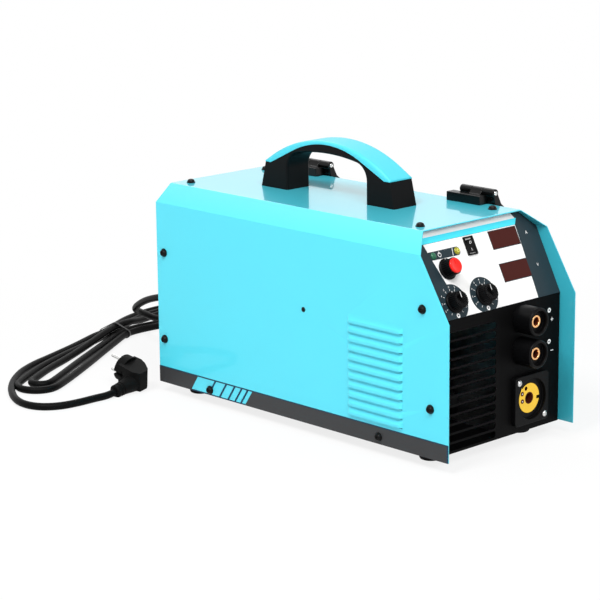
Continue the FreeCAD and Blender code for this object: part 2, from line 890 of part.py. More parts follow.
panel_top = box(
    "PanelTop",
    (-top_flange_half, top_flange_half),
    (panel_top_depth + 0.6, panel_top_depth + 26),
    (under_top - sheet, under_top),
)
slot_pieces = []
for k in range(slot_count):
    low = slot_low + slot_pitch * k - slot_height / 2
    high = low + slot_height
    air_slot = prism(
        "AirSlot%d" % k,
        "front",
        [
            (slot_left + slot_round, low),
            (slot_right - slot_round, low, slot_round),
            (slot_right, low + slot_round),
            (slot_right, high - slot_round, slot_round),
            (slot_right - slot_round, high),
            (slot_left + slot_round, high, slot_round),
            (slot_left, high - slot_round),
            (slot_left, low + slot_round, slot_round),
        ],
        sheet + 4,
    )
    slot_pieces.append(place(air_slot, 0, panel_depth - 2, 0))
air_slots = group("AirSlots", slot_pieces)
socket_spots = [socket_upper, socket_lower]
socket_holes = []
for k, height in enumerate(socket_spots):
    hole = rod("SocketHole%d" % k, socket_neck_radius, 10)
    socket_holes.append(place(hole, socket_across, panel_depth + 5, height, "front"))
torch_opening = rod("TorchOpening", torch_face_radius, 10)
place(torch_opening, torch_across, panel_depth + 5, torch_height, "front")
torch_screw_spots = [
    (torch_across - torch_screw_offset, torch_height + torch_screw_offset),
    (torch_across + torch_screw_offset, torch_height - torch_screw_offset),
]
torch_screw_holes = []
for k, (across, height) in enumerate(torch_screw_spots):
    hole = rod("TorchScrewHole%d" % k, screw_shank_radius, 14)
    torch_screw_holes.append(place(hole, across, panel_depth + 6, height, "front"))
front_holes = group("FrontHoles", socket_holes + [torch_opening] + torch_screw_holes)

knob_spots = [
    (current_knob_u, current_knob_v),
    (voltage_knob_u, dial_v),
    (inductance_knob_u, dial_v),
]
lamp_spots = [(green_u, lamp_v), (yellow_u, lamp_v)]
display_spots = [(display_u, display_upper_v), (display_u, display_lower_v)]
panel_openings = []
for k, (u, v) in enumerate(knob_spots):
    hole = rod("KnobHole%d" % k, knob_shaft_radius + 0.6, 12)
    panel_openings.append(on_panel(hole, u, v, -6))
for k, (u, v) in enumerate(lamp_spots):
    hole = rod("LampHole%d" % k, lamp_stem_radius, 12)
    panel_openings.append(on_panel(hole, u, v, -6))
for k, (u, v) in enumerate(display_spots):
    hole = block("DisplayHole%d" % k, (0, display_width), (0, display_height), (0, 12))
    on_panel(hole, u - display_width / 2, v - display_height / 2, -6)
    panel_openings.append(hole)
rocker_hole = block(
    "RockerHole",
    (0, rocker_bezel_half_u * 2 - 2),
    (0, rocker_bezel_half_v * 2 - 2),
    (0, 12),
)
on_panel(
    rocker_hole, rocker_u - rocker_bezel_half_u + 1, rocker_v - rocker_bezel_half_v + 1, -6
)
panel_openings.append(rocker_hole)
panel_cutters = group("PanelCutters", panel_openings)
panel_body = fuse("PanelBody", [panel_sheet, panel_left, panel_right, panel_top])
front_panel = cut(
    "FrontPanel", panel_body, corners, air_slots, front_holes, panel_cutters, screw_holes
)
node("front_panel", front_panel)

# Rear panel
rear_sheet = box(
    "RearSheet", (-panel_inner, panel_inner), (rear_depth, rear_face), (0, under_top)
)
rear_flange_end = rear_face + rear_flange
rear_left = box(
    "RearLeft", (-inner, sheet - inner), (rear_face, rear_flange_end), (5, flange_top)
)
rear_right = box(
    "RearRight",
    (panel_inner - sheet, panel_inner),
    (rear_face, rear_flange_end),
    (5, flange_top),
)
rear_top = box(
    "RearTop",
    (-top_flange_half, top_flange_half),
    (rear_face, rear_flange_end),
    (under_top - sheet, under_top),
)
fan_hole = rod("FanHole", fan_duct_radius, 10)
place(fan_hole, fan_across, rear_depth - 5, fan_height, "back")
gland_hole = rod("GlandHole", gland_radius - 4, 10)
place(gland_hole, gland_across, rear_depth - 5, gland_height, "back")
gas_hole = rod("GasHole", gas_hex_radius - 3, 10)
place(gas_hole, gas_across, rear_depth - 5, gas_height, "back")
switch_half_x = size("switch_half_across", 9.9)
switch_half_z = size("switch_half_along", 14.2)
switch_hole = box(
    "SwitchHole",
    (switch_across - switch_half_x, switch_across + switch_half_x),
    (rear_depth - 5, rear_depth + 5),
    (switch_height - switch_half_z, switch_height + switch_half_z),
)
rear_cutters = group("RearCutters", [fan_hole, gland_hole, gas_hole, switch_hole])
rear_body = fuse("RearBody", [rear_sheet, rear_left, rear_right, rear_top])
rear_panel = cut("RearPanel", rear_body, corners, rear_cutters, screw_holes)
node("rear_panel", rear_panel)

# Partition between the electronics and the wire bay
partition_sheet = prism(
    "PartitionSheet",
    "side",
    [
        (panel_back, tray_sheet),
        (rear_depth, tray_sheet),
        (rear_depth, under_top),
        (partition_high_front, under_top),
        (partition_low_front, partition_step),
        (panel_back, partition_step),
    ],
    sheet,
)
place(partition_sheet, partition_across, 0, 0)
partition_face = partition_across + sheet
wire_height = torch_height
drive_height = wire_height - drive_radius - moving_gap / 2
motor_hole = rod("MotorHole", drive_shaft_radius + 4, 6)
place(motor_hole, partition_across - 2, roll_depth, drive_height, "right")
partition = cut("Partition", partition_sheet, motor_hole)
node("partition", partition)

# Side band with its slanted openings
band = box("Band", (-half - band_skin, -half), (0, case_length), (0, band_height))
openings = []
for k in range(len(stripe_edges) - 1):
    line = stripe_line / 2
    rear_edge = stripe_edges[k] - (line if k else 0)
    front_edge = stripe_edges[k + 1] + (line if k < len(stripe_edges) - 2 else 0)
    low = band_margin
    high = band_height - band_margin
    lean = stripe_lean / band_height
    opening = prism(
        "Opening%d" % k,
        "side",
        [
            (front_edge + (band_height - low) * lean, low),
            (rear_edge + (band_height - low) * lean, low),
            (rear_edge + (band_height - high) * lean, high),
            (front_edge + (band_height - high) * lean, high),
        ],
        4,
    )
    openings.append(place(opening, -half - 3, 0, 0))
band_seats = []
for k, (depth, height) in enumerate(side_screws[2:4]):
    seat = rod("BandSeat%d" % k, screw_head_radius, 6)
    band_seats.append(place(seat, -half + 1, depth, height, "left"))
side_band = cut(
    "SideBand", band, group("Openings", openings), group("BandSeats", band_seats)
)
node("side_band", side_band)

# Handle with its cap: the arch over the hand opening runs smoothly into its corners
arch_less = handle_arch_arc - handle_corner_arc
arch_side = handle_half_gap - handle_corner_arc
arch_rise = root(arch_less * arch_less - arch_side * arch_side)
arch_middle = handle_gap_height - handle_arch_arc
arch_half = arch_side * handle_arch_arc / arch_less
arch_end = arch_middle + arch_rise * handle_arch_arc / arch_less
gap_wall = arch_middle + arch_rise
handle_outline = [
    (-handle_half_base, 0),
    (-handle_half_gap, 0),
    (-handle_half_gap, gap_wall, -handle_corner_arc),
    (-arch_half, arch_end, -handle_arch_arc),
    (arch_half, arch_end, -handle_corner_arc),
    (handle_half_gap, gap_wall),
    (handle_half_gap, 0),
    (handle_half_base, 0),
    (handle_half_seat, handle_seat_height),
    (handle_half_step, handle_seat_height),
    (handle_half_shoulder, handle_shoulder_height, handle_seat_arc),
    (-handle_half_shoulder, handle_shoulder_height),
    (-handle_half_step, handle_seat_height),
    (-handle_half_seat, handle_seat_height),
]
handle_width = handle_half_width * 2
handle_base = prism("HandleBase", "side", handle_outline, handle_width)


def under_arch(edge):
    """Edges of the hand opening, on both sides of the handle."""
    box_of = edge.BoundBox
    flat = box_of.XLength < 0.01
    inside = abs(edge.CenterOfMass.y) < handle_half_gap.value + 0.1
    below = edge.CenterOfMass.z < handle_gap_height.value + 1
    return flat and inside and below and box_of.ZMax > 1


round_edges(handle_base, under_arch, handle_round)
place(handle_base, -handle_half_width, handle_middle, case_height)
node("handle_base", handle_base)
cap_outline = [
    (-handle_half_step, handle_seat_height),
    (-handle_half_shoulder, handle_shoulder_height, -handle_seat_arc),
    (handle_half_shoulder, handle_shoulder_height),
    (handle_half_step, handle_seat_height),
    (cap_half_length, handle_seat_height),
    (cap_half_length, cap_end_height, cap_arc),
    (-cap_half_length, cap_end_height),
    (-cap_half_length, handle_seat_height),
]
handle_cap = prism("HandleCap", "side", cap_outline, handle_width)


def cap_top(edge):
    """Long upper edges of the cap."""
    return edge.BoundBox.XLength < 0.01 and edge.BoundBox.YLength > cap_half_length.value * 1.5


round_edges(handle_cap, cap_top, cap_round)
place(handle_cap, -handle_half_width, handle_middle, case_height)
node("handle_cap", handle_cap)

# Door with its hinges and latches


def off_chamfer(along, away):
    """A point seen from the front: down the right chamfer and out of it."""
    return (
        top_half + chamfer_x * along + chamfer_z * away,
        case_height - chamfer_z * along + chamfer_x * away,
    )


door_top = off_chamfer(door_start, 0)
door_top_inside = off_chamfer(door_start, -sheet)
door_sheet = prism(
    "DoorSheet",
    "front",
    [
        (half, door_foot),
        (half, shoulder),
        door_top,
        door_top_inside,
        (half - sheet, shoulder - bend_low),
        (half - sheet, door_foot),
    ],
    case_length,
)
place(door_sheet, 0, 0, 0)
latch_spots = [latch_front_depth, latch_rear_depth]
latch_holes = []
for k, depth in enumerate(latch_spots):
    hole = rod("LatchHole%d" % k, latch_shaft_radius + bearing_gap, 8)
    latch_holes.append(place(hole, half - 4, depth, latch_height, "right"))
side_door = cut("SideDoor", door_sheet, wing_cut, group("LatchHoles", latch_holes))
node("side_door", side_door)

hinge_height = case_height + hinge_rise
knuckle = hinge_length / 3
top_leaves = []
door_leaves = []
pins = []
for k, start in enumerate((hinge_front, hinge_rear)):
    leaf = box(
        "TopLeaf%d" % k,
        (hinge_leaf_left, hinge_leaf_right),
        (start + hinge_offset, start + hinge_offset + hinge_length),
        (case_height, case_height + hinge_leaf_height),
    )
    middle_start = start + knuckle + moving_gap / 2
    middle_length = knuckle - moving_gap
    web = prism(
        "TopWeb%d" % k,
        "front",
        [
            (hinge_leaf_right - 2, case_height + 4),
            (hinge_across, hinge_height - hinge_knuckle_radius + 0.4),
            (hinge_across, hinge_height),
            (hinge_across - 3, hinge_height + 3.2),
            (hinge_leaf_right - 2, case_height + hinge_leaf_height),
        ],
        middle_length,
    )
    place(web, 0, middle_start, 0)
    barrel = rod("TopKnuckle%d" % k, hinge_knuckle_radius, middle_length)
    place(barrel, hinge_across, middle_start, hinge_height, "back")
    bore = rod("TopBore%d" % k, hinge_pin_radius, hinge_length + 4)
    place(bore, hinge_across, start - 2, hinge_height, "back")
    top_leaves.append(cut("TopHinge%d" % k, fuse("TopJoin%d" % k, [leaf, web, barrel]), bore))
    pin = rod("HingePin%d" % k, hinge_pin_radius, hinge_length + hinge_pin_overhang * 2)
    pins.append(place(pin, hinge_across, start - hinge_pin_overhang, hinge_height, "back"))

    door_leaf = prism(
        "DoorLeaf%d" % k,
        "front",
        [
            off_chamfer(door_leaf_start, 0),
            off_chamfer(door_leaf_end, 0),
            off_chamfer(door_leaf_end, door_leaf_thickness - door_leaf_edge),
            off_chamfer(door_leaf_end - door_leaf_edge, door_leaf_thickness),
            off_chamfer(door_leaf_start, door_leaf_thickness),
        ],
        hinge_length,
    )
    place(door_leaf, 0, start, 0)
    pieces = [door_leaf]
    for side, begin in enumerate((start, start + knuckle * 2 + moving_gap / 2)):
        length = knuckle - moving_gap / 2
        arm = prism(
            "DoorWeb%d%d" % (k, side),
            "front",
            [
                off_chamfer(door_web_start, 0),
                off_chamfer(door_leaf_start + 1, 0),
                off_chamfer(door_leaf_start + 1, door_leaf_thickness),
                (hinge_across + 4.3, hinge_height - 1.7),
                (hinge_across, hinge_height),
                (hinge_across - 2.2, hinge_height - 3.6),
            ],
            length,
        )
        place(arm, 0, begin, 0)
        barrel = rod("DoorKnuckle%d%d" % (k, side), hinge_knuckle_radius, length)
        place(barrel, hinge_across, begin, hinge_height, "back")
        pieces += [arm, barrel]
    loose = rod("DoorBore%d" % k, hinge_pin_radius + bearing_gap, hinge_length + 4)
    place(loose, hinge_across, start - 2, hinge_height, "back")
    door_leaves.append(cut("DoorHinge%d" % k, fuse("DoorJoin%d" % k, pieces), loose))
node("hinge_leaves_top", group("HingeLeavesTop", top_leaves))
node("hinge_pins", group("HingePins", pins))
node("hinge_leaves_door", group("HingeLeavesDoor", door_leaves))

for name, depth in (("latch_front", latch_front_depth), ("latch_rear", latch_rear_depth)):
    cam_outer = panel_inner - tray_sheet - moving_gap
    shaft_length = half + moving_gap - cam_outer + latch_cam_thickness
    latch = turned(
        name + "_turned",
        [
            (0, -shaft_length),
            (latch_shaft_radius, -shaft_length),
            (latch_shaft_radius, 0),
            (latch_head_radius, 0),
            (latch_head_radius, latch_head_thickness - 1),
            (latch_head_radius - 1, latch_head_thickness),
            (0, latch_head_thickness),
        ],
    )
    place(latch, half + moving_gap, depth, latch_height, "right")
    cam = box(
        name + "_cam",
        (cam_outer - latch_cam_thickness, cam_outer),
        (depth - latch_cam_half, depth + latch_cam_length),
        (latch_height - latch_cam_half, latch_height + latch_cam_half),
    )
    slot = box(
        name + "_slot",
        (
            half + moving_gap + latch_head_thickness - latch_slot_depth,
            half + moving_gap + latch_head_thickness + 2,
        ),
        (depth - latch_slot_half, depth + latch_slot_half),
        (latch_height - latch_slot_width / 2, latch_height + latch_slot_width / 2),
    )
    node(name, cut(name + "_cut", fuse(name + "_join", [latch, cam]), slot))

# Controls on the slanted panel

overlay_sheet = prism(
    "OverlaySheet",
    "plan",
    [
        (-overlay_half, overlay_low),
        (overlay_half, overlay_low),
        (overlay_half, overlay_shoulder),
        (overlay_top_half, overlay_top),
        (-overlay_top_half, overlay_top),
        (-overlay_half, overlay_shoulder),
    ],
    overlay_skin,
)
on_panel(overlay_sheet, 0, 0, 0)
control_overlay = cut("ControlOverlay", overlay_sheet, panel_cutters)
node("control_overlay", control_overlay)


def rocker_switch(name, half_x, half_y, wall, hidden, rise, tilt):
    """A rocker and its frame about their own middle: height 0 is the panel face."""
    bezel = block(name + "Bezel", (-half_x, half_x), (-half_y, half_y), (0, rise))
    shell = block(
        name + "Shell", (1 - half_x, half_x - 1), (1 - half_y, half_y - 1), (-hidden, 0)
    )
    hollow = block(
        name + "Hollow",
        (wall - half_x, half_x - wall),
        (wall - 0.6 - half_y, half_y - wall + 0.6),
        (1 - hidden, rise + 2),
    )
    axle_hole = rod(name + "AxleHole", 1.25, (half_x - 1) * 2)
    stand(axle_hole, 1 - half_x, 0, -1.5, "right")
    frame = cut(
        name + "Frame", fuse(name + "Housing", [bezel, shell]), hollow, axle_hole
    )
    reach = half_y - wall - 0.8
    peak = rise + 2.2

    def tipped(y, z):
        return (
            y * cosine(tilt) - z * sine(tilt),
            y * sine(tilt) + z * cosine(tilt),
        )

    paddle = prism(
        name + "Paddle",
        "side",
        [
            tipped(-reach, peak),
            tipped(-reach + 0.4, as_size(0)),
            tipped(as_size(-2.5), as_size(-4)),
            tipped(as_size(2.5), as_size(-4)),
            tipped(reach - 0.4, as_size(0)),
            tipped(reach, peak),
            tipped(as_size(0), peak - 1),
        ],
        (half_x - wall - 0.2) * 2,
    )
    stand(paddle, wall + 0.2 - half_x, 0, -1.5)
    axle = rod(name + "Axle", 1.2, (half_x - 1.2) * 2)
    stand(axle, 1.2 - half_x, 0, -1.5, "right")
    return frame, fuse(name + "Rocker", [paddle, axle])


mode_frame, mode_rocker = rocker_switch(
    "Mode",
    rocker_bezel_half_u,
    rocker_bezel_half_v,
    size("rocker_wall", 2.3),
    size("rocker_hidden", 14),
    size("rocker_rise", 2),
    rocker_tilt,
)
node("rocker_frame", on_panel(mode_frame, rocker_u, rocker_v, overlay_skin))
node("mode_rocker", on_panel(mode_rocker, rocker_u, rocker_v, overlay_skin))

for name, (u, v), radius in zip(
    ("power_lamp", "warning_lamp"), lamp_spots, (green_radius, yellow_radius)
):
    lamp = turned(
        name + "_turned",
        [
            (0, -8),
            (lamp_stem_radius, -8),
            (lamp_stem_radius, 0),
            (radius, 0),
            (radius, lamp_rise * 0.35),
            (radius * 0.8, lamp_rise * 0.78),
            (radius * 0.45, lamp_rise),
            (0, lamp_rise),
        ],
    )
    node(name, on_panel(lamp, u, v, overlay_skin))

windows = []
for k, (u, v) in enumerate(display_spots):
    window = block(
        "Window%d" % k,
        (0, display_width),
        (0, display_height),
        (-sheet, overlay_skin + display_rise),
    )
    on_panel(window, u - display_width / 2, v - display_height / 2, -sheet)
    windows.append(window)
node("display_windows", group("DisplayWindows", windows))

board_plate = block(
    "BoardPlate", (-board_half, board_half), (board_low, board_high), (0, board_thickness)
)
on_panel(board_plate, -board_half, board_low, -board_behind - board_thickness)
board_pieces = [board_plate]
for k, (u, v) in enumerate(knob_spots):
    pot = rod("Pot%d" % k, pot_radius, board_behind - knob_shaft_depth - moving_gap)
    board_pieces.append(on_panel(pot, u, v, -board_behind))
    bushing_length = knob_shaft_depth + moving_gap - sheet
    bushing = rod("Bushing%d" % k, bushing_radius, bushing_length)
    on_panel(bushing, u, v, -knob_shaft_depth - moving_gap)
    bushing_bore = rod("BushingBore%d" % k, knob_shaft_radius + moving_gap, bushing_length)
    on_panel(bushing_bore, u, v, -knob_shaft_depth - moving_gap)
    board_pieces.append(cut("BushingTube%d" % k, bushing, bushing_bore))
for k, (u, v) in enumerate(display_spots):
    module = block(
        "Module%d" % k,
        (0, display_width - 4),
        (0, display_height - 2),
        (0, board_behind - sheet - 0.5),
    )
    on_panel(module, u - display_width / 2 + 2, v - display_height / 2 + 1, -board_behind)
    board_pieces.append(module)
node("control_board", fuse("ControlBoard", board_pieces))

knob_lift = overlay_skin + moving_gap


def knob(name, u, v, marked):
    """A turned knob with its shaft and a raised pointer on the top."""
    body = turned(
        name + "_turned",
        [
            (0, -knob_shaft_depth - knob_lift),
            (knob_shaft_radius, -knob_shaft_depth - knob_lift),
            (knob_shaft_radius, 0),
            (knob_skirt_radius, 0),
            (knob_skirt_radius, knob_skirt_height - 0.8),
            (knob_skirt_radius - 0.8, knob_skirt_height),
            (knob_radius, knob_skirt_height),
            (knob_top_radius, knob_height),
            (0, knob_height),
        ],
    )
    pieces = [body]
    rib = block(
        name + "_rib",
        (0, knob_mark_width),
        (0, knob_skirt_radius - knob_top_radius + 1.2),
        (0, knob_height - knob_skirt_height),
    )
    stand(rib, -knob_mark_width / 2, knob_top_radius - 1.2, knob_skirt_height - 0.5)
    pieces.append(rib)
    if marked:
        bar = block(
            name + "_bar",
            (0, knob_mark_width),
            (0, knob_top_radius - 0.6),
            (0, 1.4),
        )
        stand(bar, -knob_mark_width / 2, 0, knob_height - 0.8)
        pieces.append(bar)
    return node(name, on_panel(fuse(name + "_knob", pieces), u, v, knob_lift))


knob("current_knob", current_knob_u, current_knob_v, False)
knob("voltage_knob", voltage_knob_u, dial_v, True)
knob("inductance_knob", inductance_knob_u, dial_v, True)
cap_disc = turned(
    "CapDisc",
    [
        (0, 0),
        (knob_cap_radius, 0),
        (knob_cap_radius, knob_cap_height * 0.5),
        (knob_cap_radius - 1.2, knob_cap_height),
        (0, knob_cap_height),
    ],
)
cap_bar = block("CapBar", (0, knob_mark_width), (0, knob_cap_radius - 2), (0, 1))
stand(cap_bar, -knob_mark_width / 2, 0.8, knob_cap_height - 0.5)
knob_cap = fuse("KnobCap", [cap_disc, cap_bar])
node("current_knob_cap", on_panel(knob_cap, current_knob_u, current_knob_v, knob_lift + knob_height))

# Output sockets and torch connector

socket_bodies = []
socket_contacts = []
for k, height in enumerate(socket_spots):
    floor = socket_reach - socket_recess_depth
    shell = turned(
        "SocketBody%d" % k,
        [
            (contact_radius, -13),
            (socket_neck_radius, -13),
            (socket_neck_radius, 0),
            (socket_radius, 0),
            (socket_radius, socket_reach - 1.2),
            (socket_radius - 1.2, socket_reach),
            (socket_recess_radius + 0.8, socket_reach),
            (socket_recess_radius, socket_reach - 0.8),
            (socket_recess_radius, floor),
            (contact_radius, floor),
        ],
    )
    socket_bodies.append(place(shell, socket_across, panel_depth, height, "front"))
    face = floor + contact_reach
    core = turned(
        "SocketContact%d" % k,
        [
            (0, -25),
            (4, -25),
            (4, -18),
            (contact_radius, -18),
            (contact_radius, face),
            (contact_bore + contact_chamfer, face),
            (contact_bore, face - contact_chamfer),
            (contact_bore, face - contact_bore_depth),
            (0, face - contact_bore_depth),
        ],
    )
    socket_contacts.append(place(core, socket_across, panel_depth, height, "front"))
node("socket_bodies", group("SocketBodies", socket_bodies))
node("socket_contacts", group("SocketContacts", socket_contacts))

fh = torch_flange_half
fr = torch_flange_round
flange_plate = prism(
    "FlangePlate",
    "front",
    [
        (torch_across - fh + fr, torch_height - fh),
        (torch_across + fh - fr, torch_height - fh, fr),
        (torch_across + fh, torch_height - fh + fr),
        (torch_across + fh, torch_height + fh - fr, fr),
        (torch_across + fh - fr, torch_height + fh),
        (torch_across - fh + fr, torch_height + fh, fr),
        (torch_across - fh, torch_height + fh - fr),
        (torch_across - fh, torch_height - fh + fr, fr),
    ],
    torch_flange_thickness,
)
flange_front = panel_depth - torch_flange_thickness
place(flange_plate, 0, flange_front, 0)
flange_recess = rod("FlangeRecess", torch_recess_radius, torch_recess_depth + 2)
place(flange_recess, torch_across, flange_front + torch_recess_depth, torch_height, "front")
torch_flange = cut(
    "TorchFlange",
    flange_plate,
    fuse("FlangeHollow", [flange_recess, torch_opening]),
    group("FlangeScrewHoles", torch_screw_holes),
)
node("torch_flange", torch_flange)
neck_length = feeder_front - panel_depth - torch_inside
torch_core = turned(
    "TorchCore",
    [
        (guide_radius, -torch_inside - neck_length),
        (torch_neck_radius, -torch_inside - neck_length),
        (torch_neck_radius, -torch_inside),
        (torch_face_radius, -torch_inside),
        (torch_face_radius, torch_face_reach),
        (torch_bore + 0.75, torch_face_reach),
        (torch_bore, torch_face_reach - 0.75),
        (torch_bore, torch_face_reach - torch_bore_depth),
        (guide_radius, torch_face_reach - torch_bore_depth),
    ],
)
place(torch_core, torch_across, panel_depth, torch_height, "front")
face_holes = []
for k, (across, up) in enumerate(torch_pins):
    hole = rod("PinSeat%d" % k, torch_pin_radius, 12)
    place(hole, torch_across + across, panel_depth + 6, torch_height + up, "front")
    face_holes.append(hole)
gas_bore = rod("GasBore", torch_pin_radius + 0.7, 18)
place(
    gas_bore,
    torch_across + torch_hole[0],
    panel_depth + 14,
    torch_height + torch_hole[1],
    "front",
)
key_notch = box(
    "KeyNotch",
    (torch_across + torch_face_radius - 4.5, torch_across + torch_face_radius + 1),
    (panel_depth - 4, panel_depth + 3),
    (torch_height - 3.2, torch_height + 0.2),
)
torch_block = cut("TorchBlock", torch_core, group("FaceHoles", face_holes + [gas_bore, key_notch]))
node("torch_block", torch_block)
torch_pin_pieces = []
for k, (across, up) in enumerate(torch_pins):
    pin = rod("TorchPin%d" % k, torch_pin_radius, 10)
    place(pin, torch_across + across, panel_depth + 6, torch_height + up, "front")
    torch_pin_pieces.append(pin)
node("torch_pins", group("TorchPins", torch_pin_pieces))
torch_screw_pieces = []
for k, (across, height) in enumerate(torch_screw_spots):
    screw = pan_screw("TorchScrew%d" % k, torch_screw_radius, 2, screw_shank_radius, 9)
    torch_screw_pieces.append(place(screw, across, flange_front, height, "front"))
node("torch_screws", group("TorchScrews", torch_screw_pieces))

# Wire feeder

plate_right = partition_face + feeder_plate
roll_left = torch_across - roll_width / 2
roll_right = torch_across + roll_width / 2
feeder_wall = box(
    "FeederWall",
    (partition_face, plate_right),
    (feeder_front, feeder_rear),
    (tray_sheet, feeder_top),
)
front_block = box(
    "FrontBlock",
    (plate_right, feeder_block_right),
    (feeder_front, feeder_front + feeder_front_block),
    (wire_height - feeder_block_half, wire_height + feeder_block_half),
)
rear_block = box(
    "RearBlock",
    (plate_right, feeder_block_right),
    (feeder_rear - feeder_rear_block, feeder_rear),
    (wire_height - feeder_block_half, wire_height + feeder_block_half),
)
arm_left = roll_left - 1 - arm_cheek
arm_right = roll_right + 1 + arm_cheek
arm_pivot_height = wire_height + arm_pivot_rise
pivot_post = box(
    "PivotPost",
    (roll_left, roll_right),
    (arm_pivot_depth - 6, arm_pivot_depth + 6),
    (wire_height, arm_pivot_height + 5),
)
arm_pin = rod("ArmPin", arm_pin_radius, arm_right - arm_left)
place(arm_pin, arm_left, arm_pivot_depth, arm_pivot_height, "right")
outlet_front = roll_depth - guide_gap
outlet = rod("Outlet", guide_radius, outlet_front - feeder_front)
place(outlet, torch_across, feeder_front, wire_height, "back")
inlet_start = roll_depth + guide_gap
inlet = rod("Inlet", guide_radius, feeder_rear + 14 - inlet_start)
place(inlet, torch_across, inlet_start, wire_height, "back")
lever_pocket = box(
    "LeverPocket",
    (torch_across - 5, torch_across + 5),
    (feeder_front - 1, feeder_front + feeder_front_block + 1),
    (wire_height + 4, wire_height + feeder_block_half + 1),
)
lever_height = wire_height + feeder_block_half - lever_pivot_drop
shaft_bore = rod("ShaftBore", drive_shaft_radius + bearing_gap, 12)
place(shaft_bore, partition_face - 4, roll_depth, drive_height, "right")
lever_axle_hole = rod("LeverAxleHole", 1.5 + bearing_gap, 20)
place(lever_axle_hole, torch_across - 10, lever_pivot_depth, lever_height - 2.6, "right")
feeder_body = fuse(
    "FeederBody",
    [feeder_wall, front_block, rear_block, pivot_post, outlet, inlet, arm_pin],
)
feeder_frame = cut(
    "FeederFrame", feeder_body, group("FeederCutters", [lever_pocket, shaft_bore])
)
node("feeder_frame", cut("FeederDrilled", feeder_frame, lever_axle_hole))

drive_disc = rod("DriveDisc", drive_radius, roll_width)
place(drive_disc, roll_left, roll_depth, drive_height, "right")
drive_shaft = rod("DriveShaft", drive_shaft_radius, roll_right + 4 - partition_across + 1)
place(drive_shaft, partition_across - 1, roll_depth, drive_height, "right")
drive_key = box(
    "DriveKey",
    (roll_right, roll_right + 3),
    (roll_depth - 9, roll_depth + 9),
    (drive_height - 2.5, drive_height + 2.5),
)
node("drive_roll", fuse("DriveRoll", [drive_disc, drive_shaft, drive_key]))
motor_can = rod("MotorCan", motor_radius, motor_length)
motor_face = partition_across - moving_gap - 1
place(motor_can, motor_face - motor_length, roll_depth, drive_height, "right")
motor_lug = box(
    "MotorLug",
    (partition_across - 12, partition_across),
    (roll_depth + motor_radius - 5, roll_depth + motor_radius + 6),
    (drive_height - 8, drive_height + 8),
)
node("feed_motor", fuse("FeedMotor", [motor_can, motor_lug]))

pressure_height = wire_height + pressure_radius + moving_gap / 2
bridge_low = wire_height + arm_bridge_rise
arm_cheeks = []
for k, left in enumerate((arm_left, roll_right + 1)):
    cheek = prism(
        "ArmCheek%d" % k,
        "side",
        [
            (arm_front, bridge_low),
            (roll_depth - 7, pressure_height - 6),
            (roll_depth + 7, pressure_height - 6),
            (arm_pivot_depth, arm_pivot_height - 7),
            (arm_pivot_depth + 7, arm_pivot_height),
            (arm_pivot_depth + 4, bridge_low + arm_bridge_thickness),
            (arm_front, bridge_low + arm_bridge_thickness),
        ],
        arm_cheek,
    )
    arm_cheeks.append(place(cheek, left, 0, 0))
arm_bridge = box(
    "ArmBridge",
    (arm_left, arm_right),
    (arm_front, roll_depth + 14),
    (bridge_low, bridge_low + arm_bridge_thickness),
)
roll_pin = rod("RollPin", pressure_pin_radius, arm_right - arm_left)
place(roll_pin, arm_left, roll_depth, pressure_height, "right")
fork = box(
    "Fork",
    (torch_across - 4, torch_across + 4),
    (arm_front - 1, arm_front + 13),
    (bridge_low - 1, bridge_low + arm_bridge_thickness + 1),
)
arm_bore = rod("ArmBore", arm_pin_radius + bearing_gap, arm_right - arm_left + 2)
place(arm_bore, arm_left - 1, arm_pivot_depth, arm_pivot_height, "right")
arm_body = fuse("ArmBody", arm_cheeks + [arm_bridge, roll_pin])
node("pressure_arm", cut("PressureArm", arm_body, fork, arm_bore))
pressure_disc = rod("PressureDisc", pressure_radius, roll_width)
place(pressure_disc, roll_left, roll_depth, pressure_height, "right")
pressure_bore = rod("PressureBore", pressure_pin_radius + bearing_gap, roll_width + 2)
place(pressure_bore, roll_left - 1, roll_depth, pressure_height, "right")
node("pressure_roll", cut("PressureRoll", pressure_disc, pressure_bore))

lever_rod = rod("LeverRod", lever_rod_radius, lever_length - 4)
lever_knob = turned(
    "LeverKnob",
    [
        (0, lever_length - lever_knob_length),
        (lever_knob_radius - 2, lever_length - lever_knob_length),
        (lever_knob_radius, lever_length - lever_knob_length + 3),
        (lever_knob_radius, lever_length - 3),
        (lever_knob_radius - 3, lever_length),
        (0, lever_length),
    ],
)
lever_axle = rod("LeverAxle", 1.5, 18)
stand(lever_axle, -9, 0, 0, "right")
tension_lever = fuse("TensionLever", [lever_rod, lever_knob, lever_axle])
place(tension_lever, torch_across, lever_pivot_depth, lever_height - 2.6)
tension_lever.Placement.Rotation = FreeCAD.Rotation(V(1, 0, 0), lever_lean.value)
bind(tension_lever, "Placement.Rotation.Angle", lever_lean)
node("tension_lever", tension_lever)

# Spool and its axle

axle_flange = rod("AxleFlange", axle_flange_radius, axle_flange_thickness)
place(axle_flange, partition_face, spool_depth, spool_height, "right")
axle_core = rod("AxleCore", axle_radius, axle_length)
place(axle_core, partition_face, spool_depth, spool_height, "right")
axle_hollow = rod("AxleHollow", axle_radius - 4, axle_length - 12)
place(axle_hollow, partition_face + 14, spool_depth, spool_height, "right")
axle_stud = rod("AxleStud", 6, axle_length - 4)
place(axle_stud, partition_face, spool_depth, spool_height, "right")
axle_tube = cut("AxleTube", axle_core, axle_hollow)
node("spool_axle", fuse("SpoolAxle", [axle_flange, axle_tube, axle_stud]))
spool_end = spool_start + spool_width
reel = turned(
    "Reel",
    [
        (spool_bore, 0),
        (spool_radius, 0),
        (spool_radius, spool_flange),
        (spool_core, spool_flange),
        (spool_core, spool_width - spool_flange),
        (spool_radius, spool_width - spool_flange),
        (spool_radius, spool_width),
        (spool_bore, spool_width),
    ],
)
place(reel, spool_start, spool_depth, spool_height, "right")
reel_windows = []
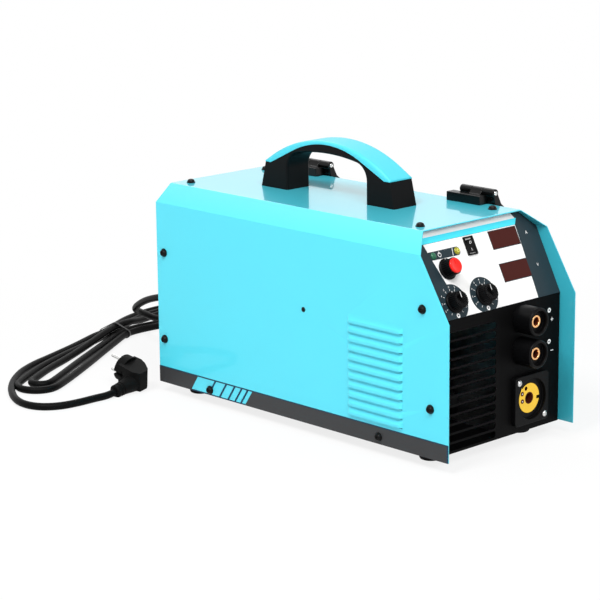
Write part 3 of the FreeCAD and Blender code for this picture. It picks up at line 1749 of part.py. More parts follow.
for k in range(6):
    turn = Size(60 * k, "(%d)" % (60 * k))
    hole = rod("ReelWindow%d" % k, 11, spool_flange + 2)
    place(
        hole,
        spool_end - spool_flange - 1,
        spool_depth + (spool_core + 27) * cosine(turn),
        spool_height + (spool_core + 27) * sine(turn),
        "right",
    )
    reel_windows.append(hole)
node("wire_spool", cut("WireSpool", reel, group("ReelWindows", reel_windows)))
winding = turned(
    "Winding",
    [
        (spool_core, spool_flange),
        (winding_radius, spool_flange),
        (winding_radius, spool_width - spool_flange),
        (spool_core, spool_width - spool_flange),
    ],
)
node("wire_winding", place(winding, spool_start, spool_depth, spool_height, "right"))

# Fan, boards and transformer

fan_front = rear_depth - fan_depth
fan_block = box(
    "FanBlock",
    (fan_across - fan_half, fan_across + fan_half),
    (fan_front, rear_depth),
    (fan_height - fan_half, fan_height + fan_half),
)
fan_duct = rod("FanDuct", fan_duct_radius, fan_depth + 2)
place(fan_duct, fan_across, fan_front - 1, fan_height, "back")
strut_pieces = []
for k, (wide, tall) in enumerate(((fan_half, 2), (2, fan_half))):
    strut_pieces.append(
        box(
            "FanStrut%d" % k,
            (fan_across - wide, fan_across + wide),
            (fan_front, fan_front + 3),
            (fan_height - tall, fan_height + tall),
        )
    )
fan_seat = rod("FanSeat", fan_hub_radius, 3)
place(fan_seat, fan_across, fan_front, fan_height, "back")
fan_bore = rod("FanBore", fan_shaft_radius + bearing_gap, 6)
place(fan_bore, fan_across, fan_front - 1, fan_height, "back")
fan_open = cut("FanOpen", fan_block, fan_duct)
fan_body = fuse("FanBody", [fan_open, fan_seat] + strut_pieces)
node("fan_frame", cut("FanFrame", fan_body, fan_bore))
hub_front = fan_front + 3 + moving_gap
hub = rod("FanHub", fan_hub_radius, fan_depth - 5)
place(hub, fan_across, hub_front, fan_height, "back")
fan_shaft = rod("FanShaft", fan_shaft_radius, 6)
place(fan_shaft, fan_across, fan_front, fan_height, "back")
blade_count = 7
blade_root = fan_hub_radius - 3
half_chord = fan_blade_chord / 2
half_blade = fan_blade_thickness / 2
blade_lead_along = half_chord * cosine(fan_blade_tilt) - half_blade * sine(fan_blade_tilt)
blade_lead_up = half_chord * sine(fan_blade_tilt) + half_blade * cosine(fan_blade_tilt)
blades = []
for k in range(blade_count):
    blade = block(
        "Blade%d" % k,
        (0, fan_blade_radius - fan_hub_radius + 3),
        (0, fan_blade_chord),
        (0, fan_blade_thickness),
    )
    angle = as_size(360.0 * k / blade_count)
    out_x = cosine(angle) * blade_root + sine(angle) * blade_lead_up
    out_z = sine(angle) * blade_root - cosine(angle) * blade_lead_up
    middle = hub_front + (fan_depth - 5) / 2 - blade_lead_along
    place(blade, fan_across + out_x, middle, fan_height + out_z)
    turn = FreeCAD.Rotation(V(0, 1, 0), 0 - angle.value)
    tilt = FreeCAD.Rotation(V(1, 0, 0), fan_blade_tilt.value)
    blade.Placement = FreeCAD.Placement(blade.Placement.Base, turn.multiply(tilt))
    blades.append(blade)
node("fan_rotor", fuse("FanRotor", [hub, fan_shaft] + blades))

guard_pieces = []
guard_face = rear_face + guard_wire
for k in range(4):
    ring = doc.addObject("Part::Torus", "GuardRing%d" % k)
    bind(ring, "Radius1", guard_ring * (k + 1) + 2)
    bind(ring, "Radius2", guard_wire)
    guard_pieces.append(place(ring, fan_across, guard_face, fan_height, "back"))
for k, (wide, tall) in enumerate(((43, 1), (1, 43))):
    guard_pieces.append(
        box(
            "GuardBar%d" % k,
            (fan_across - wide, fan_across + wide),
            (guard_face, guard_face + 2),
            (fan_height - tall, fan_height + tall),
        )
    )
node("fan_guard", fuse("FanGuard", guard_pieces))

inverter_plate = box(
    "InverterPlate",
    (-inner + 8, partition_across),
    (inverter_front, inverter_rear),
    (inverter_low, inverter_low + 2),
)
node("inverter_board", inverter_plate)
sink_pieces = []
for k in range(2):
    begin = inverter_front + 20 + (heatsink_length + 15) * k
    left = -inner + 14
    low = inverter_low + 2
    pieces = [
        box(
            "SinkBase%d" % k,
            (left, left + heatsink_width),
            (begin, begin + heatsink_length),
            (low, low + heatsink_base),
        )
    ]
    for n in range(8):
        at = left + (heatsink_width - heatsink_fin) * n / 7
        pieces.append(
            box(
                "SinkFin%d%d" % (k, n),
                (at, at + heatsink_fin),
                (begin, begin + heatsink_length),
                (low + heatsink_base - 1, low + heatsink_height),
            )
        )
    sink_pieces.append(fuse("Sink%d" % k, pieces))
node("heatsinks", group("Heatsinks", sink_pieces))
cans = []
for k in range(3):
    can = rod("Capacitor%d" % k, capacitor_radius, capacitor_height)
    depth = inverter_rear - 20 - (capacitor_radius * 2 + 3) * k
    cans.append(place(can, partition_across - capacitor_radius - 0.6, depth, inverter_low + 2))
node("capacitors", group("Capacitors", cans))
core = box(
    "Core",
    (transformer_across - core_half_width, transformer_across + core_half_width),
    (transformer_depth - core_half_length, transformer_depth + core_half_length),
    (tray_sheet, core_top),
)
coil = box(
    "Coil",
    (transformer_across - coil_half_width, transformer_across + coil_half_width),
    (transformer_depth - coil_half_length, transformer_depth + coil_half_length),
    (coil_low, coil_top),
)
node("transformer", fuse("Transformer", [core, coil]))

# Rear fittings

gland = turned(
    "Gland",
    [
        (0, -8),
        (gland_radius - 4, -8),
        (gland_radius - 4, 0),
        (gland_radius, 0),
        (gland_radius, 6),
        (gland_radius - 1.5, 7),
        (gland_radius - 1.5, gland_reach - 8),
        (cord_radius + 2.2, gland_reach),
        (0, gland_reach),
    ],
)
node("cable_gland", place(gland, gland_across, rear_face, gland_height, "back"))
valve_box = box(
    "ValveBox",
    (gas_across - 13, gas_across + 13),
    (rear_depth - 40, rear_depth),
    (gas_height - 12, gas_height + 12),
)
gas_neck = gas_hex_radius - 3
barb_end = case_length + rear_reach - rear_face
barb = turned(
    "Barb",
    [
        (0, -sheet - 1),
        (gas_neck, -sheet - 1),
        (gas_neck, 0),
        (gas_hex_radius, 0),
        (gas_hex_radius, 7),
        (gas_tip_radius, 7),
        (gas_tip_radius, 12),
        (gas_barb_radius, 13),
        (gas_tip_radius, 18),
        (gas_barb_radius, 19),
        (gas_tip_radius, 24),
        (gas_barb_radius, 25),
        (gas_tip_radius, barb_end),
        (0, barb_end),
    ],
)
place(barb, gas_across, rear_face, gas_height, "back")
node("gas_valve", fuse("GasValve", [valve_box, barb]))
power_frame, power_rocker = rocker_switch(
    "Power",
    switch_half_x + 1,
    switch_half_z + 1,
    size("switch_wall", 2.6),
    size("switch_hidden", 18),
    size("switch_rise", 2.2),
    rocker_tilt,
)
node("switch_frame", place(power_frame, switch_across, rear_face, switch_height, "rear_panel"))
node("power_rocker", place(power_rocker, switch_across, rear_face, switch_height, "rear_panel"))

# Mains cord, hank and plug


def tube(name, wire, radius):
    """A round cord along a smooth line."""
    start = wire.Edges[0]
    first = start.valueAt(start.FirstParameter)
    way = start.tangentAt(start.FirstParameter)
    section = Part.Wire([Part.makeCircle(radius, first, way)])
    item = doc.addObject("Part::Feature", name)
    item.Shape = wire.makePipeShell([section], True, False)
    share = item.Shape.Volume / (math.pi * radius * radius * wire.Length)
    print("%s: length %.1f, volume %.4f of expected" % (name, wire.Length, share))
    return item


def rounded_path(points):
    """Straight runs joined by tangent arcs."""
    edges = []
    here = points[0]
    least = 1e9
    for before, corner, after in zip(points, points[1:], points[2:]):
        into = (corner - before).normalize()
        out = (after - corner).normalize()
        half_turn = math.acos(max(-1.0, min(1.0, into.dot(out)))) / 2
        shorter = min((corner - before).Length, (after - corner).Length)
        trim = shorter * 0.45
        radius = trim / math.tan(half_turn)
        least = min(least, radius)
        start = corner - into * trim
        end = corner + out * trim
        middle = corner + (out - into).normalize() * (radius / math.cos(half_turn) - radius)
        edges.append(Part.LineSegment(here, start).toShape())
        edges.append(Part.Arc(start, middle, end).toShape())
        here = end
    edges.append(Part.LineSegment(here, points[-1]).toShape())
    print("least bend radius %.1f" % least)
    return Part.Wire(edges)


def floor_point(across, depth, height):
    """A place on the floor behind the machine; it moves with the rear sheet."""
    return V(across, case_front.value + rear_face.value - cord_datum.value + depth, height)


hank_way = V(math.cos(math.radians(hank_turn.value)), math.sin(math.radians(hank_turn.value)), 0)
hank_side = V(0 - hank_way.y, hank_way.x, 0)
hank_middle = floor_point(hank_across.value, hank_depth.value, 0)
lie = cord_radius.value


def lane(along, aside, height):
    """A place in the hank: along it, to its far side and up."""
    return hank_middle + hank_way * along + hank_side * aside + V(0, 0, height)


gland_end = case_front + rear_face + gland_reach
gland_above = foot_height + gland_height
cable_points = [
    V(gland_across.value, gland_end.value, gland_above.value),
    V(gland_across.value, gland_end.value + 22, gland_above.value),
    floor_point(-14, 533, 89),
    floor_point(-9, 575, 83),
    floor_point(1, 616, 71),
    floor_point(15, 652, 56),
    floor_point(33, 682, 42),
    floor_point(56, 703, 31),
    floor_point(80, 716, 20),
    floor_point(101, 724.5, 9.5),
    floor_point(118, 728, 5.4),
]
lead_points = [
    floor_point(-148.5, 664.2, lie),
    floor_point(-187, 642.8, lie + 0.02),
    floor_point(-225, 607, lie),
    floor_point(-253, 566, lie + 0.02),
    floor_point(-264.5, 533, lie),
    floor_point(-259, 507, lie + 0.02),
    floor_point(-240, 492, lie),
    floor_point(-214, 488, lie + 0.02),
    floor_point(-188, 488.5, lie),
]
straight = {
    "right": V(1, 0, 0),
    "away": V(0, 1, 0),
    "left": V(-1, 0, 0),
    "up_hank": hank_way,
    "down_hank": -hank_way,
    "across": -hank_side,
}
over = 14.6
tied = 5.9
hank_nodes = [
    (cable_points[-1], (cable_points[-1] - cable_points[-2]).normalize()),
    (floor_point(150, 726, lie), "right"),
    (floor_point(163, 739, lie), "away"),
    (floor_point(150, 752, lie), "left"),
    (floor_point(115, 748, lie + 0.2), None),
    (floor_point(85, 736, 7), None),
    (floor_point(52, 720, over - 1), None),
    (lane(-30, -11.1, over), None),
    (lane(-60, -8.5, over - 0.6), None),
    (lane(-100, -3.5, 9.5), None),
    (lane(-161, 5, lie), None),
    (lane(-210, 9.5, lie), None),
    (lane(-255, 8, lie), "down_hank"),
    (lane(-267.5, -4.5, lie), "across"),
    (lane(-255, -17, lie), "up_hank"),
    (lane(-190, -15.5, lie), None),
    (lane(-128, -15, lie), None),
    (lane(-78, -15.5, lie + 0.4), None),
    (lane(-30, -16, tied), None),
    (floor_point(58, 714.5, tied - 0.6), None),
    (floor_point(95, 713.5, lie), None),
    (floor_point(150, 713, lie), "right"),
    (floor_point(175.5, 738.5, lie), "away"),
    (floor_point(150, 764, lie), "left"),
    (floor_point(120, 761, lie), None),
    (floor_point(88, 751, lie + 0.3), None),
    (floor_point(50, 731, tied), None),
    (lane(-30, -6.2, tied), None),
    (lane(-52, -0.6, tied - 0.6), None),
    (lane(-96, 6.5, lie), None),
    (lane(-161, 17, lie), None),
    (lane(-210, 22.5, lie), None),
    (lane(-245, 22, lie), None),
    (lane(-272, 19, lie), "down_hank"),
    (lane(-297, -6, lie), "across"),
    (lane(-272, -31, lie), "up_hank"),
    (lane(-225, -31.5, lie), None),
    (lane(-172, -30, lie), None),
    (lane(-108, -27, lie), None),
    (lane(-70, -26.2, lie + 0.5), None),
    (lane(-30, -25.8, tied), None),
    (floor_point(62, 703.5, tied - 0.8), None),
    (floor_point(95, 702.3, lie), None),
    (floor_point(150, 702, lie), "right"),
    (floor_point(187, 739, lie), "away"),
    (floor_point(150, 776, lie), "left"),
    (floor_point(120, 773.5, lie), None),
    (floor_point(85, 763, lie + 0.3), None),
    (floor_point(47, 742, tied - 0.2), None),
    (lane(-30, 4, tied), None),
    (lane(-52, 11.2, tied - 0.6), None),
    (lane(-96, 17, lie), None),
    (lane(-161, 28, lie), None),
    (lead_points[0], (lead_points[1] - lead_points[0]).normalize()),
]


def headings(path):
    """Give every place a heading, from its neighbours where none is set."""
    placed = []
    for k, (point, heading) in enumerate(path):
        if isinstance(heading, str):
            heading = straight[heading]
        if heading is None:
            into = point - path[k - 1][0]
            out = path[k + 1][0] - point
            heading = into / into.Length ** 2 + out / out.Length ** 2
            heading.normalize()
        placed.append((point, heading))
    return placed


def arc_from(start, heading, end):
    """The arc that leaves start along a heading and ends at end, with its radius."""
    chord = end - start
    way = V(chord).normalize()
    aside = heading - way * heading.dot(way)
    if aside.Length < 1e-4:
        return Part.LineSegment(start, end).toShape(), 1e6
    turn = math.acos(max(-1.0, min(1.0, heading.dot(way))))
    middle = start + chord / 2 + aside.normalize() * (chord.Length / 2 * math.tan(turn / 2))
    return Part.Arc(start, middle, end).toShape(), chord.Length / 2 / math.sin(turn)


def two_arcs(start, first, end, last):
    """Two arcs that join two places and keep both headings."""
    chord = end - start
    both = first + last
    spread = 2 * (1 - first.dot(last))
    along = chord.dot(both)
    if spread < 1e-6:
        reach = chord.dot(chord) / (4 * chord.dot(last))
    else:
        reach = (math.sqrt(along * along + spread * chord.dot(chord)) - along) / spread
    joint = (start + end + (first - last) * reach) / 2
    one, one_radius = arc_from(start, first, joint)
    other_way = (end - last * reach - joint).normalize()
    two, two_radius = arc_from(joint, other_way, end)
    return [one, two], min(one_radius, two_radius)


def hank_path(path):
    """The whole hank as one smooth line."""
    edges = []
    least = 1e9
    placed = headings(path)
    for (start, first), (end, last) in zip(placed, placed[1:]):
        pair, radius = two_arcs(start, first, end, last)
        edges += pair
        least = min(least, radius)
    print("hank: %d arcs, least bend radius %.1f" % (len(edges), least))
    return Part.Wire(edges)


def least_gap(wire, diameter):
    """How near the cord comes to itself, and where."""
    points = wire.discretize(Distance=3.0)
    step = wire.Length / (len(points) - 1)
    skip = int(34 / step)
    best = (1e9, None)
    for i in range(len(points)):
        for j in range(i + skip, len(points)):
            if abs(points[i].x - points[j].x) > 14 or abs(points[i].y - points[j].y) > 14:
                continue
            apart = (points[i] - points[j]).Length
            if apart < best[0]:
                best = (apart, points[i])
    return best[0] - diameter, best[1]


strain_length = size("strain_length", 14)
arm_length = size("plug_arm_length", 22)
arm_turn = size("plug_arm_turn", 0)
arm_root_x = size("plug_arm_root_across", -8)
arm_root_y = size("plug_arm_root_depth", -28)
arm_root_z = size("plug_arm_root_height", -5)
plug_turn = FreeCAD.Rotation(V(0, 0, 1), plug_yaw)
plug_turn = plug_turn.multiply(FreeCAD.Rotation(V(1, 0, 0), plug_pitch))
plug_turn = plug_turn.multiply(FreeCAD.Rotation(V(0, 1, 0), plug_roll))
plug_middle = floor_point(plug_across.value, plug_depth.value, plug_height.value)
arm_way = V(0 - math.cos(math.radians(arm_turn.value)), 0 - math.sin(math.radians(arm_turn.value)), 0)
arm_whole = arm_length.value + strain_length.value
arm_root = V(arm_root_x.value, arm_root_y.value, arm_root_z.value)
exit_local = arm_root + arm_way * arm_whole
exit_point = plug_middle + plug_turn.multVec(exit_local)
exit_way = plug_turn.multVec(arm_way)
lead_points += [exit_point + exit_way * 11, exit_point]

mains_cable = tube("MainsCable", rounded_path(cable_points), cord_radius.value)
node("mains_cable", mains_cable)
hank_line = hank_path(hank_nodes)
gap, gap_place = least_gap(hank_line, cord_radius.value * 2)
print("hank: least gap to itself %.2f near %s" % (gap, gap_place))
mains_hank = tube("MainsHank", hank_line, cord_radius.value)
node("mains_hank", mains_hank)
plug_lead = tube("PlugLead", rounded_path(lead_points), cord_radius.value)
node("plug_lead", plug_lead)


def set_plug(item):
    """Turn and place a plug piece drawn about the middle of the plug face."""
    item.setExpression("Placement.Base.x", None)
    item.setExpression("Placement.Base.y", None)
    item.setExpression("Placement.Base.z", None)
    item.Placement = FreeCAD.Placement(plug_middle, plug_turn)
    return item


def along_arm(item, distance):
    """Stand a turned piece on the slanted arm of the plug."""
    root_place = arm_root + arm_way * distance
    item.Placement = FreeCAD.Placement(root_place, FreeCAD.Rotation(V(0, 0, 1), arm_way))
    return item


plug_drum = rod("PlugDrum", plug_radius, plug_face)
stand(plug_drum, 0, 0, 0, "front")
plug_hub = prism(
    "PlugHub",
    "plan",
    [
        (13, -6),
        (13.5, -17),
        (10, -27),
        (3, -38),
        (-1, -41),
        (-13, -41),
        (-17, -31),
        (-15, -6),
    ],
    plug_half * 2,
)
stand(plug_hub, 0, 0, -plug_half)
plug_arm = cone("PlugArm", 12, 8.6, arm_length)
along_arm(plug_arm, 0)
plug_grooves = []
for side in (-1, 1):
    groove = block("PlugGroove%d" % (side + 1), (-4, 4), (-14, 1), (0, 4))
    stand(groove, plug_radius * side - 4, -14, -2)
    bind(groove, "Length", 8)
    plug_grooves.append(groove)
pin_seats = []
for side in (-1, 1):
    seat = rod("PlugPinSeat%d" % (side + 1), pin_root_radius, 12)
    stand(seat, 0, -10, pin_half_spacing * side, "back")
    pin_seats.append(seat)
plug_pin_pieces = []
for side in (-1, 1):
    pin = turned(
        "PlugPin%d" % (side + 1),
        [
            (0, -10),
            (pin_root_radius, -10),
            (pin_root_radius, pin_step),
            (pin_radius, pin_step),
            (pin_radius, pin_length - 1.5),
            (pin_radius - 1.2, pin_length),
            (0, pin_length),
        ],
    )
    plug_pin_pieces.append(stand(pin, 0, 0, pin_half_spacing * side, "back"))
node("plug_pins", set_plug(group("PlugPins", plug_pin_pieces)))
strain = turned(
    "Strain",
    [
        (0, 0),
        (8.6, 0),
        (8.6, 2.4),
        (7.5, 2.9),
        (7.5, 4),
        (8.4, 4.5),
        (8.4, 6.6),
        (7.3, 7.1),
        (7.3, 8.2),
        (8.2, 8.7),
        (8.2, 12.4),
        (7.4, 13.4),
        (cord_radius + 1.4, strain_length),
        (0, strain_length),
    ],
)
along_arm(strain, arm_length.value)
plug_shape = fuse("PlugShape", [plug_drum, plug_hub, plug_arm, strain])
plug_body = cut(
    "PlugBody", plug_shape, group("PlugGrooves", plug_grooves), group("PinSeats", pin_seats)
)
node("plug_body", set_plug(plug_body))

tie_left = V(-25.8 - tie_slack.value, 0, tied)
tie_right = V(4 + tie_slack.value, 0, tied)
tie_over = V(-11.1, 0, over)


def run_round(radius):
    """An outline close round the tied strands, its arcs about the outer three."""
    corners = [(tie_left.x, tie_left.z - radius), (tie_right.x, tie_right.z - radius, radius)]
    for begin, end in ((tie_right, tie_over), (tie_over, tie_left)):
        way = (end - begin).normalize()
        corners.append((way.z * radius + begin.x, -way.x * radius + begin.z))
        corners.append((way.z * radius + end.x, -way.x * radius + end.z, radius))
    return corners


tie_inside = cord_radius + size("tie_gap", 0.55)
tie_ring = cut(
    "TieRing",
    prism("TieOuter", "side", run_round(tie_inside + tie_thickness), tie_width),
    prism("TieInner", "side", run_round(tie_inside), tie_width),
)
tie_ring.Placement = FreeCAD.Placement(
    lane(tie_place.value, 0, 0), FreeCAD.Rotation(V(0, 0, 1), hank_turn.value)
)
node("cable_tie", tie_ring)

# Check and write every piece

doc.recompute()
faults = [item.Name for item in doc.Objects if "Invalid" in item.State]
for name, item in nodes:
    shape = item.Shape
    if shape.isNull() or not shape.isValid() or not shape.Solids:
        faults.append(name)
if faults:
    raise RuntimeError("not sound: " + ", ".join(faults))
os.makedirs("parts", exist_ok=True)
for name, item in nodes:
    item.Shape.exportStep("parts/%s.step" % name)
print("%d pieces written" % len(nodes))
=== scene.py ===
import json
import math

import bpy
from mathutils import Matrix, Vector

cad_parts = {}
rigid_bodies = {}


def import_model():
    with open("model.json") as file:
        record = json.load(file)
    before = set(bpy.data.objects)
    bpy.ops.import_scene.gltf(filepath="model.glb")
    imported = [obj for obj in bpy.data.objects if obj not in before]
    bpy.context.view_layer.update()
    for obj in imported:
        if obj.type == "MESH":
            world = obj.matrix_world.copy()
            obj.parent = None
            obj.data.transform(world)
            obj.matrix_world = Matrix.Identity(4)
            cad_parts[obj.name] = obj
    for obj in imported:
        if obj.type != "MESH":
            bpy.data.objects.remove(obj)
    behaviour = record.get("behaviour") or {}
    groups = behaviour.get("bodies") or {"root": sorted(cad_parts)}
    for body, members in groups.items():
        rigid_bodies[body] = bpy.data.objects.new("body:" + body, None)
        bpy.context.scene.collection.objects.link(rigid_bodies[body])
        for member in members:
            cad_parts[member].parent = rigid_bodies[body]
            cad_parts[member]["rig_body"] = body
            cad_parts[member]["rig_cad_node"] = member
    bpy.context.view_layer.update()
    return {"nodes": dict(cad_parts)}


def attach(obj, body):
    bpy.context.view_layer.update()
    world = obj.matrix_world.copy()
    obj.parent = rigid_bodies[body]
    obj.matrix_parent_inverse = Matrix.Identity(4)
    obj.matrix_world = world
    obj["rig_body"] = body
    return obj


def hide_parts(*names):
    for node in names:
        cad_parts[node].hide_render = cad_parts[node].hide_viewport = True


bl_info = {
    "name": "Portable welding machine",
    "version": (1, 1, 0),
    "blender": (4, 5, 0),
    "location": "View3D > Sidebar > Welder",
    "description": "Dresses the welding machine: paint, printed panel, knobs, screws and cord",
    "category": "Object",
}

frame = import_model()
mm = 0.001

# Case places, in millimetres, are across, back from the front edge and up from the sheet edge
CASE_FRONT = -238.5
FOOT_HEIGHT = 12.5
HALF_WIDTH = 103.35
CASE_HEIGHT = 239.5
PANEL_DEPTH = 21.0
FOLD_HEIGHT = 147.7
PANEL_SLOPE = math.radians(27.0)

# Middles of the controls on the slanted panel: across and up the slope
CURRENT_KNOB = (-57.6, 54.5)
VOLTAGE_KNOB = (-64.6, 18.1)
INDUCTANCE_KNOB = (-16.7, 18.1)
ROCKER = (-12.0, 73.7)
PADDLE_LEAN = math.radians(15.7)
POWER_LAMP = (-70.6, 71.5)
WARNING_LAMP = (-33.5, 71.5)
DISPLAYS = ((44.5, 74.0), (44.5, 36.3))
DISPLAY_HALF = (22.2, 10.0)

# Output sockets and torch connector on the upright front: across and up
SOCKETS = ((36.7, 130.0), (36.7, 93.7))
SOCKET_SIGNS = ((83.5, 130.7), (84.1, 94.9))
TORCH = (49.5, 37.3)
TORCH_PINS = ((-11.7, 6.6), (-11.4, -2.0))
TORCH_GAS = (-5.3, 11.6)
TORCH_SCREW_REACH = 21.3
FLANGE_RISE = 6.0

SIDE_SCREWS = ((457, 160), (459, 54), (379, 6.4), (102.5, 8.2), (26, 55), (38, 162))
TOP_SCREWS = ((-62.5, 452.6), (57, 451), (-64, 78.4), (59, 84))
RIVET = (219, 131)
FEET = ((-72.4, 54), (72.4, 54), (-72.4, 432), (72.4, 432))
HANDLE_MIDDLE = 269.0

# Handle cap: where its underside steps, its upper arc and the places of its sections
CAP_SHOULDER = (52.0, 49.0)
CAP_STEP = (92.0, 29.7)
CAP_SEAT_ARC = 125.3
CAP_APEX = 64.5
CAP_ARC = 172.6
CAP_HALF_WIDTH = 18.0
CAP_THICK = 6.0
CAP_ROUND = 3.6
CAP_STATIONS = (
    101.2, 99, 96, 92, 88, 84, 79, 73, 67, 60, 52, 47, 40, 32, 24, 16, 8, 0,
)

HINGES = (100.0, 362.0)
HINGE_AXIS = (82.0, 252.0)

# Slanted openings of the side band: their edges at the band's top
BAND_HEIGHT = 20.0
BAND_LEAN = 13.5 / BAND_HEIGHT
BAND_LINE = 2.8
STRIPE_EDGES = (368.5, 349.6, 334.8, 322.8, 312.6)

# Louvres of the left wall
LOUVRES = 11
LOUVRE_FRONT = 66.2
LOUVRE_LENGTH = 83.2
LOUVRE_LOW = 25.4
LOUVRE_PITCH = 10.43

# Roundings of small edges, in metres
POINTER_EDGE = 0.00015
RIDGE_EDGE = 0.0002
FINE_EDGE = 0.0003
BRASS_EDGE = 0.00035
SMALL_EDGE = 0.0004
BEZEL_EDGE = 0.0005
MOTOR_EDGE = 0.0006
PLUG_EDGE = 0.0008

# Meshes: doubles nearer than this are merged, and flats within this angle are one face
SAME_PLACE = 2e-6
SAME_FLAT = math.radians(0.5)
BORDER_SPAN = 0.15

# Paint: way and reach of the chamfer, the painted skin and the part of the inside that takes
# painted shade
CHAMFER_WAY = (0.636, 0.772)
CHAMFER_REACH = 234.6
PAINT_SKIN = 0.6
INSIDE_SHADE_FRONT = 22.4
INSIDE_SHADE_REAR = 447.0
PANEL_SHEET = 1.6
GRAIN_DEPTH = 0.0001

# Printed scales of the two small knobs: radii of the dark disc, of the marks' ends and of
# the numbers, then the count of marks, the first one and the step between them in degrees
SMALL_KNOBS = (VOLTAGE_KNOB, INDUCTANCE_KNOB)
OVERLAY_FACE = 0.5
SCALE_DISC = 20.5
SCALE_MARKS = (13.2, 15.4)
SCALE_NUMBERS = 17.6
SCALE_COUNT = 11
SCALE_START = 234.0
SCALE_STEP = 28.8
SIGN_HEIGHT = 3.3
POWER_SIGN = (-61.0, 71.5)
KNOB_FLUTES = 24

# Wire on the spool: turns beside each other, their pitch, and radii of core and winding
WIRE_TURNS = 28
WIRE_PITCH = 1.75
WIRE_CORE = 51.0
WIRE_OUTSIDE = 85.36

# Camera: azimuth, elevation and roll in degrees, then metres, and focal length in pixels
CAMERA_TURN = (-43.6497, 13.55, -0.619)
CAMERA_AIM = (0, 235, 120)
CAMERA_DISTANCE = 2.54094
CAMERA_SHIFT = (-0.0674744, 0.00121)
CAMERA_CLIP = (0.05, 50)
CAMERA_FOCAL = 2208.705
PICTURE_WIDTH = 600
SENSOR_WIDTH = 36

# Stage: the floor, the light that comes from all round and the lamps' place, size and power
GROUND_SIZE = 24
GROUND_COLOUR = (0.86, 0.86, 0.86, 1)
SOFT_LIGHT = 0.38
LAMPS = {
    "key_lamp": ((-1.0, -2.2, 2.8), 1.3, 58),
    "side_lamp": ((-1.95, -0.3, 2.9), 0.9, 66),
    "rear_lamp": ((1.2, 2.2, 2.2), 1.6, 14),
    "spark_lamp": ((-1.95, -1.6, 1.15), 0.25, 5),
}


def shade(label, text, value):
    """A colour that the user may change."""
    return bpy.props.FloatVectorProperty(
        name=label, description=text, default=value, size=4, min=0, max=1, subtype="COLOR"
    )


def length(label, text, value):
    """A length that the user may change."""
    return bpy.props.FloatProperty(
        name=label, description=text, default=value, min=0, unit="LENGTH"
    )


class WelderColours(bpy.types.PropertyGroup):
    """Colours of the paint, prints and plastics."""

    paint: shade("Case paint", "Powder coat on the covers", (0.082, 0.67, 0.82, 1))
    # Painted shade: the near black of the covers' inside within the closed case
    inside_shade: shade("Inside shade", "Painted shade inside the closed case", (0.012, 0.014, 0.015, 1))
    grip: shade("Grip", "Coloured cap of the handle", (0.072, 0.62, 0.74, 1))
    panel: shade("Front sheet", "Dark paint of the front sheet", (0.0030, 0.0030, 0.0032, 1))
    slate: shade("Overlay", "Dark ground of the printed overlay", (0.020, 0.035, 0.044, 1))
    white: shade("Print white", "White areas and marks of the print", (0.97, 0.97, 0.96, 1))
    strip: shade("Print strip", "Coloured strip of the print", (0.070, 0.76, 0.92, 1))
    silver: shade("Silver strip", "Bare strip over the print", (0.78, 0.79, 0.79, 1))
    band: shade("Side band", "Dark film along the foot of the wall", (0.040, 0.040, 0.042, 1))
    navy: shade("Band lines", "Thin lines that frame the band", (0.003, 0.040, 0.095, 1))
    # Painted shade: the dark teal of the strips under the louvre lips and of the overhangs' inner
    # faces
    gap: shade("Louvre and overhang shade", "Painted shade under the louvres and in the overhangs", (0.002, 0.19, 0.26, 1))
    black: shade("Black plastic", "Moulded black plastic", (0.0025, 0.0025, 0.0028, 1))
    rubber: shade("Rubber", "Feet and cord", (0.0035, 0.0035, 0.0035, 1))
    red: shade("Red", "Red knob cap and rear rocker", (0.88, 0.010, 0.005, 1))
    brass: shade("Brass", "Torch connector", (0.95, 0.60, 0.065, 1))
    copper: shade("Copper", "Output contacts", (0.98, 0.56, 0.26, 1))
    bore: shade("Bore", "Shaded inside of the contacts", (0.10, 0.016, 0.006, 1))
    display: shade("Display", "Dark red display filter", (0.055, 0.0075, 0.005, 1))


class WelderSizes(bpy.types.PropertyGroup):
    """Sizes of the pieces made here."""

    sheet_edge: length("Sheet edge", "Rounding of sheet metal edges", 0.0003)
    moulded_edge: length("Moulded edge", "Rounding of plastic edges", 0.0006)
    handle_edge: length("Handle edge", "Rounding of the handle legs", 0.0016)
    print_rise: length("Print rise", "Thickness of each printed layer", 0.00008)
    cord: length("Cord", "Diameter of the mains cord", 0.009)
    screw_head: length("Screw head", "Radius of the cover screws' heads", 0.00515)


def case_point(x, y, z):
    """A place on the case, in metres."""
    return Vector((x, CASE_FRONT + y, FOOT_HEIGHT + z)) * mm


def facing(point, out, up):
    """A frame at a point, its third axis outwards and its second upwards."""
    out = Vector(out).normalized()
    up = Vector(up).normalized()
    across = up.cross(out).normalized()
    up = out.cross(across)
    turn = Matrix((across, up, out)).transposed().to_4x4()
    return Matrix.Translation(point) @ turn


def on_panel(u, v, w=0.0):
    """A frame on the slanted panel: across, up the slope and out of the face."""
    s, c = math.sin(PANEL_SLOPE), math.cos(PANEL_SLOPE)
    point = case_point(u, PANEL_DEPTH + v * s - w * c, FOLD_HEIGHT + v * c + w * s)
    return facing(point, (0, -c, s), (0, s, c))


def on_front(x, z, out=0.0):
    """A frame on the upright front sheet."""
    return facing(case_point(x, PANEL_DEPTH - out, z), (0, -1, 0), (0, 0, 1))


def on_left(y, z, out=0.0):
    """A frame on the left wall, its first axis towards the front."""
    return facing(case_point(-HALF_WIDTH - out, y, z), (-1, 0, 0), (0, 0, 1))


def on_top(x, y, out=0.0):
    """A frame on the top sheet."""
    return facing(case_point(x, y, CASE_HEIGHT + out), (0, 0, 1), (0, 1, 0))


def clear():
    """Leave edit mode and pick nothing."""
    if bpy.context.object and bpy.context.object.mode != "OBJECT":
        bpy.ops.object.mode_set(mode="OBJECT")
    bpy.ops.object.select_all(action="DESELECT")


def only(item):
    """Leave everything else alone and pick this object."""
    clear()
    item.select_set(True)
    bpy.context.view_layer.objects.active = item
    return item


